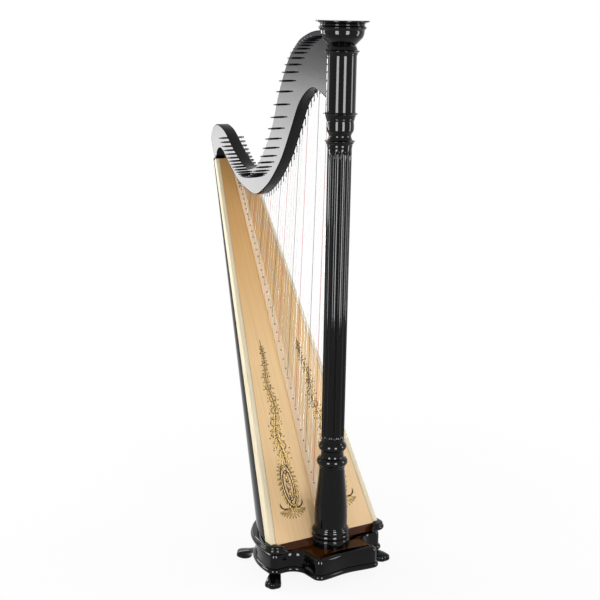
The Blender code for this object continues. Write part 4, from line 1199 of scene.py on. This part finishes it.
def add_softbox(name, place, aim, width, height, radiance, mirrored=False):
    """Rectangular soft light, seen by matt surfaces alone or, when mirrored, by gloss alone."""
    data = bpy.data.lights.new(name, "AREA")
    data.shape = "RECTANGLE"
    data.size = width
    data.size_y = height
    data.energy = radiance * math.pi * width * height
    lamp = new_object(name, data)
    lamp.location = place
    lamp.rotation_euler = (Vector(aim) - Vector(place)).to_track_quat("-Z", "Y").to_euler()
    lamp.visible_camera = False
    lamp.visible_glossy = mirrored
    lamp.visible_diffuse = not mirrored


def make_neck_panel():
    """Upright white panel that the neck's near face mirrors, dimmer towards its top."""
    x, y, low, high, brightest = AXIS_X - 2.85, -1.88, 0.60, 1.80, 25.0
    material = bpy.data.materials.new("neck_panel")
    material.use_nodes = True
    tree = material.node_tree
    tree.nodes.clear()
    place = add_node(tree, "TexCoord").outputs["Object"]
    rise = add_node(tree, "SeparateXYZ", {0: place}).outputs["Z"]
    stops = [(0.75, 20.5), (1.00, 19.8), (1.12, 16.5), (1.28, 12.2), (1.35, 9.0), (1.42, 5.4),
             (1.60, 2.4)]
    glow = add_ramp(tree, add_range(tree, rise, low, high),
                    [((height - low) / (high - low), (light / brightest,) * 3)
                     for height, light in stops])
    light = add_node(tree, "Emission", {"Color": glow, "Strength": brightest}).outputs[0]
    add_node(tree, "OutputMaterial", {0: light})
    panel = flat_sheet("neck_panel", [(x - 0.6, y, low), (x + 0.6, y, low), (x + 0.6, y, high),
                                      (x - 0.6, y, high)], material)
    for kind in ("camera", "diffuse", "transmission", "shadow"):
        setattr(panel, "visible_" + kind, False)


def around_column(degrees, distance, height):
    """Place at an angle from the camera's side, seen from the column."""
    towards_camera = -35.4
    angle = math.radians(towards_camera + degrees)
    return (AXIS_X + distance * math.cos(angle), distance * math.sin(angle), height)


make_floor()
make_world(0.54)
make_neck_panel()
MIDDLE = (AXIS_X, 0.0, 0.95)
add_softbox("key", (AXIS_X - 2.66, -1.88, 0.95), (AXIS_X - 0.35, 0.0, 1.30), 1.7, 1.15, 10.0)
# Strips that gloss mirrors stand a little nearer than the lamps for matt surfaces: in one plane
# with them, their highlights vanish
for side in (-1, 1):
    add_softbox("fill_%d" % side, around_column(28 * side, 3.0, 1.15), MIDDLE, 0.45, 2.0, 6.0)
    add_softbox("strip_%d" % side, around_column(28 * side, 2.8, 1.15), MIDDLE, 0.85, 2.0, 32.0,
                True)
add_softbox("side_fill", around_column(92, 3.0, 1.1), MIDDLE, 0.7, 1.8, 7.0)
add_softbox("side_strip", around_column(92, 2.8, 1.1), MIDDLE, 0.6, 1.8, 16.0, True)
add_softbox("back_fill", around_column(-136, 3.2, 1.6), MIDDLE, 0.6, 1.0, 6.0)
add_softbox("back_strip", around_column(-136, 3.0, 1.6), MIDDLE, 0.5, 1.0, 14.0, True)

bpy.context.scene.view_settings.view_transform = "Standard"
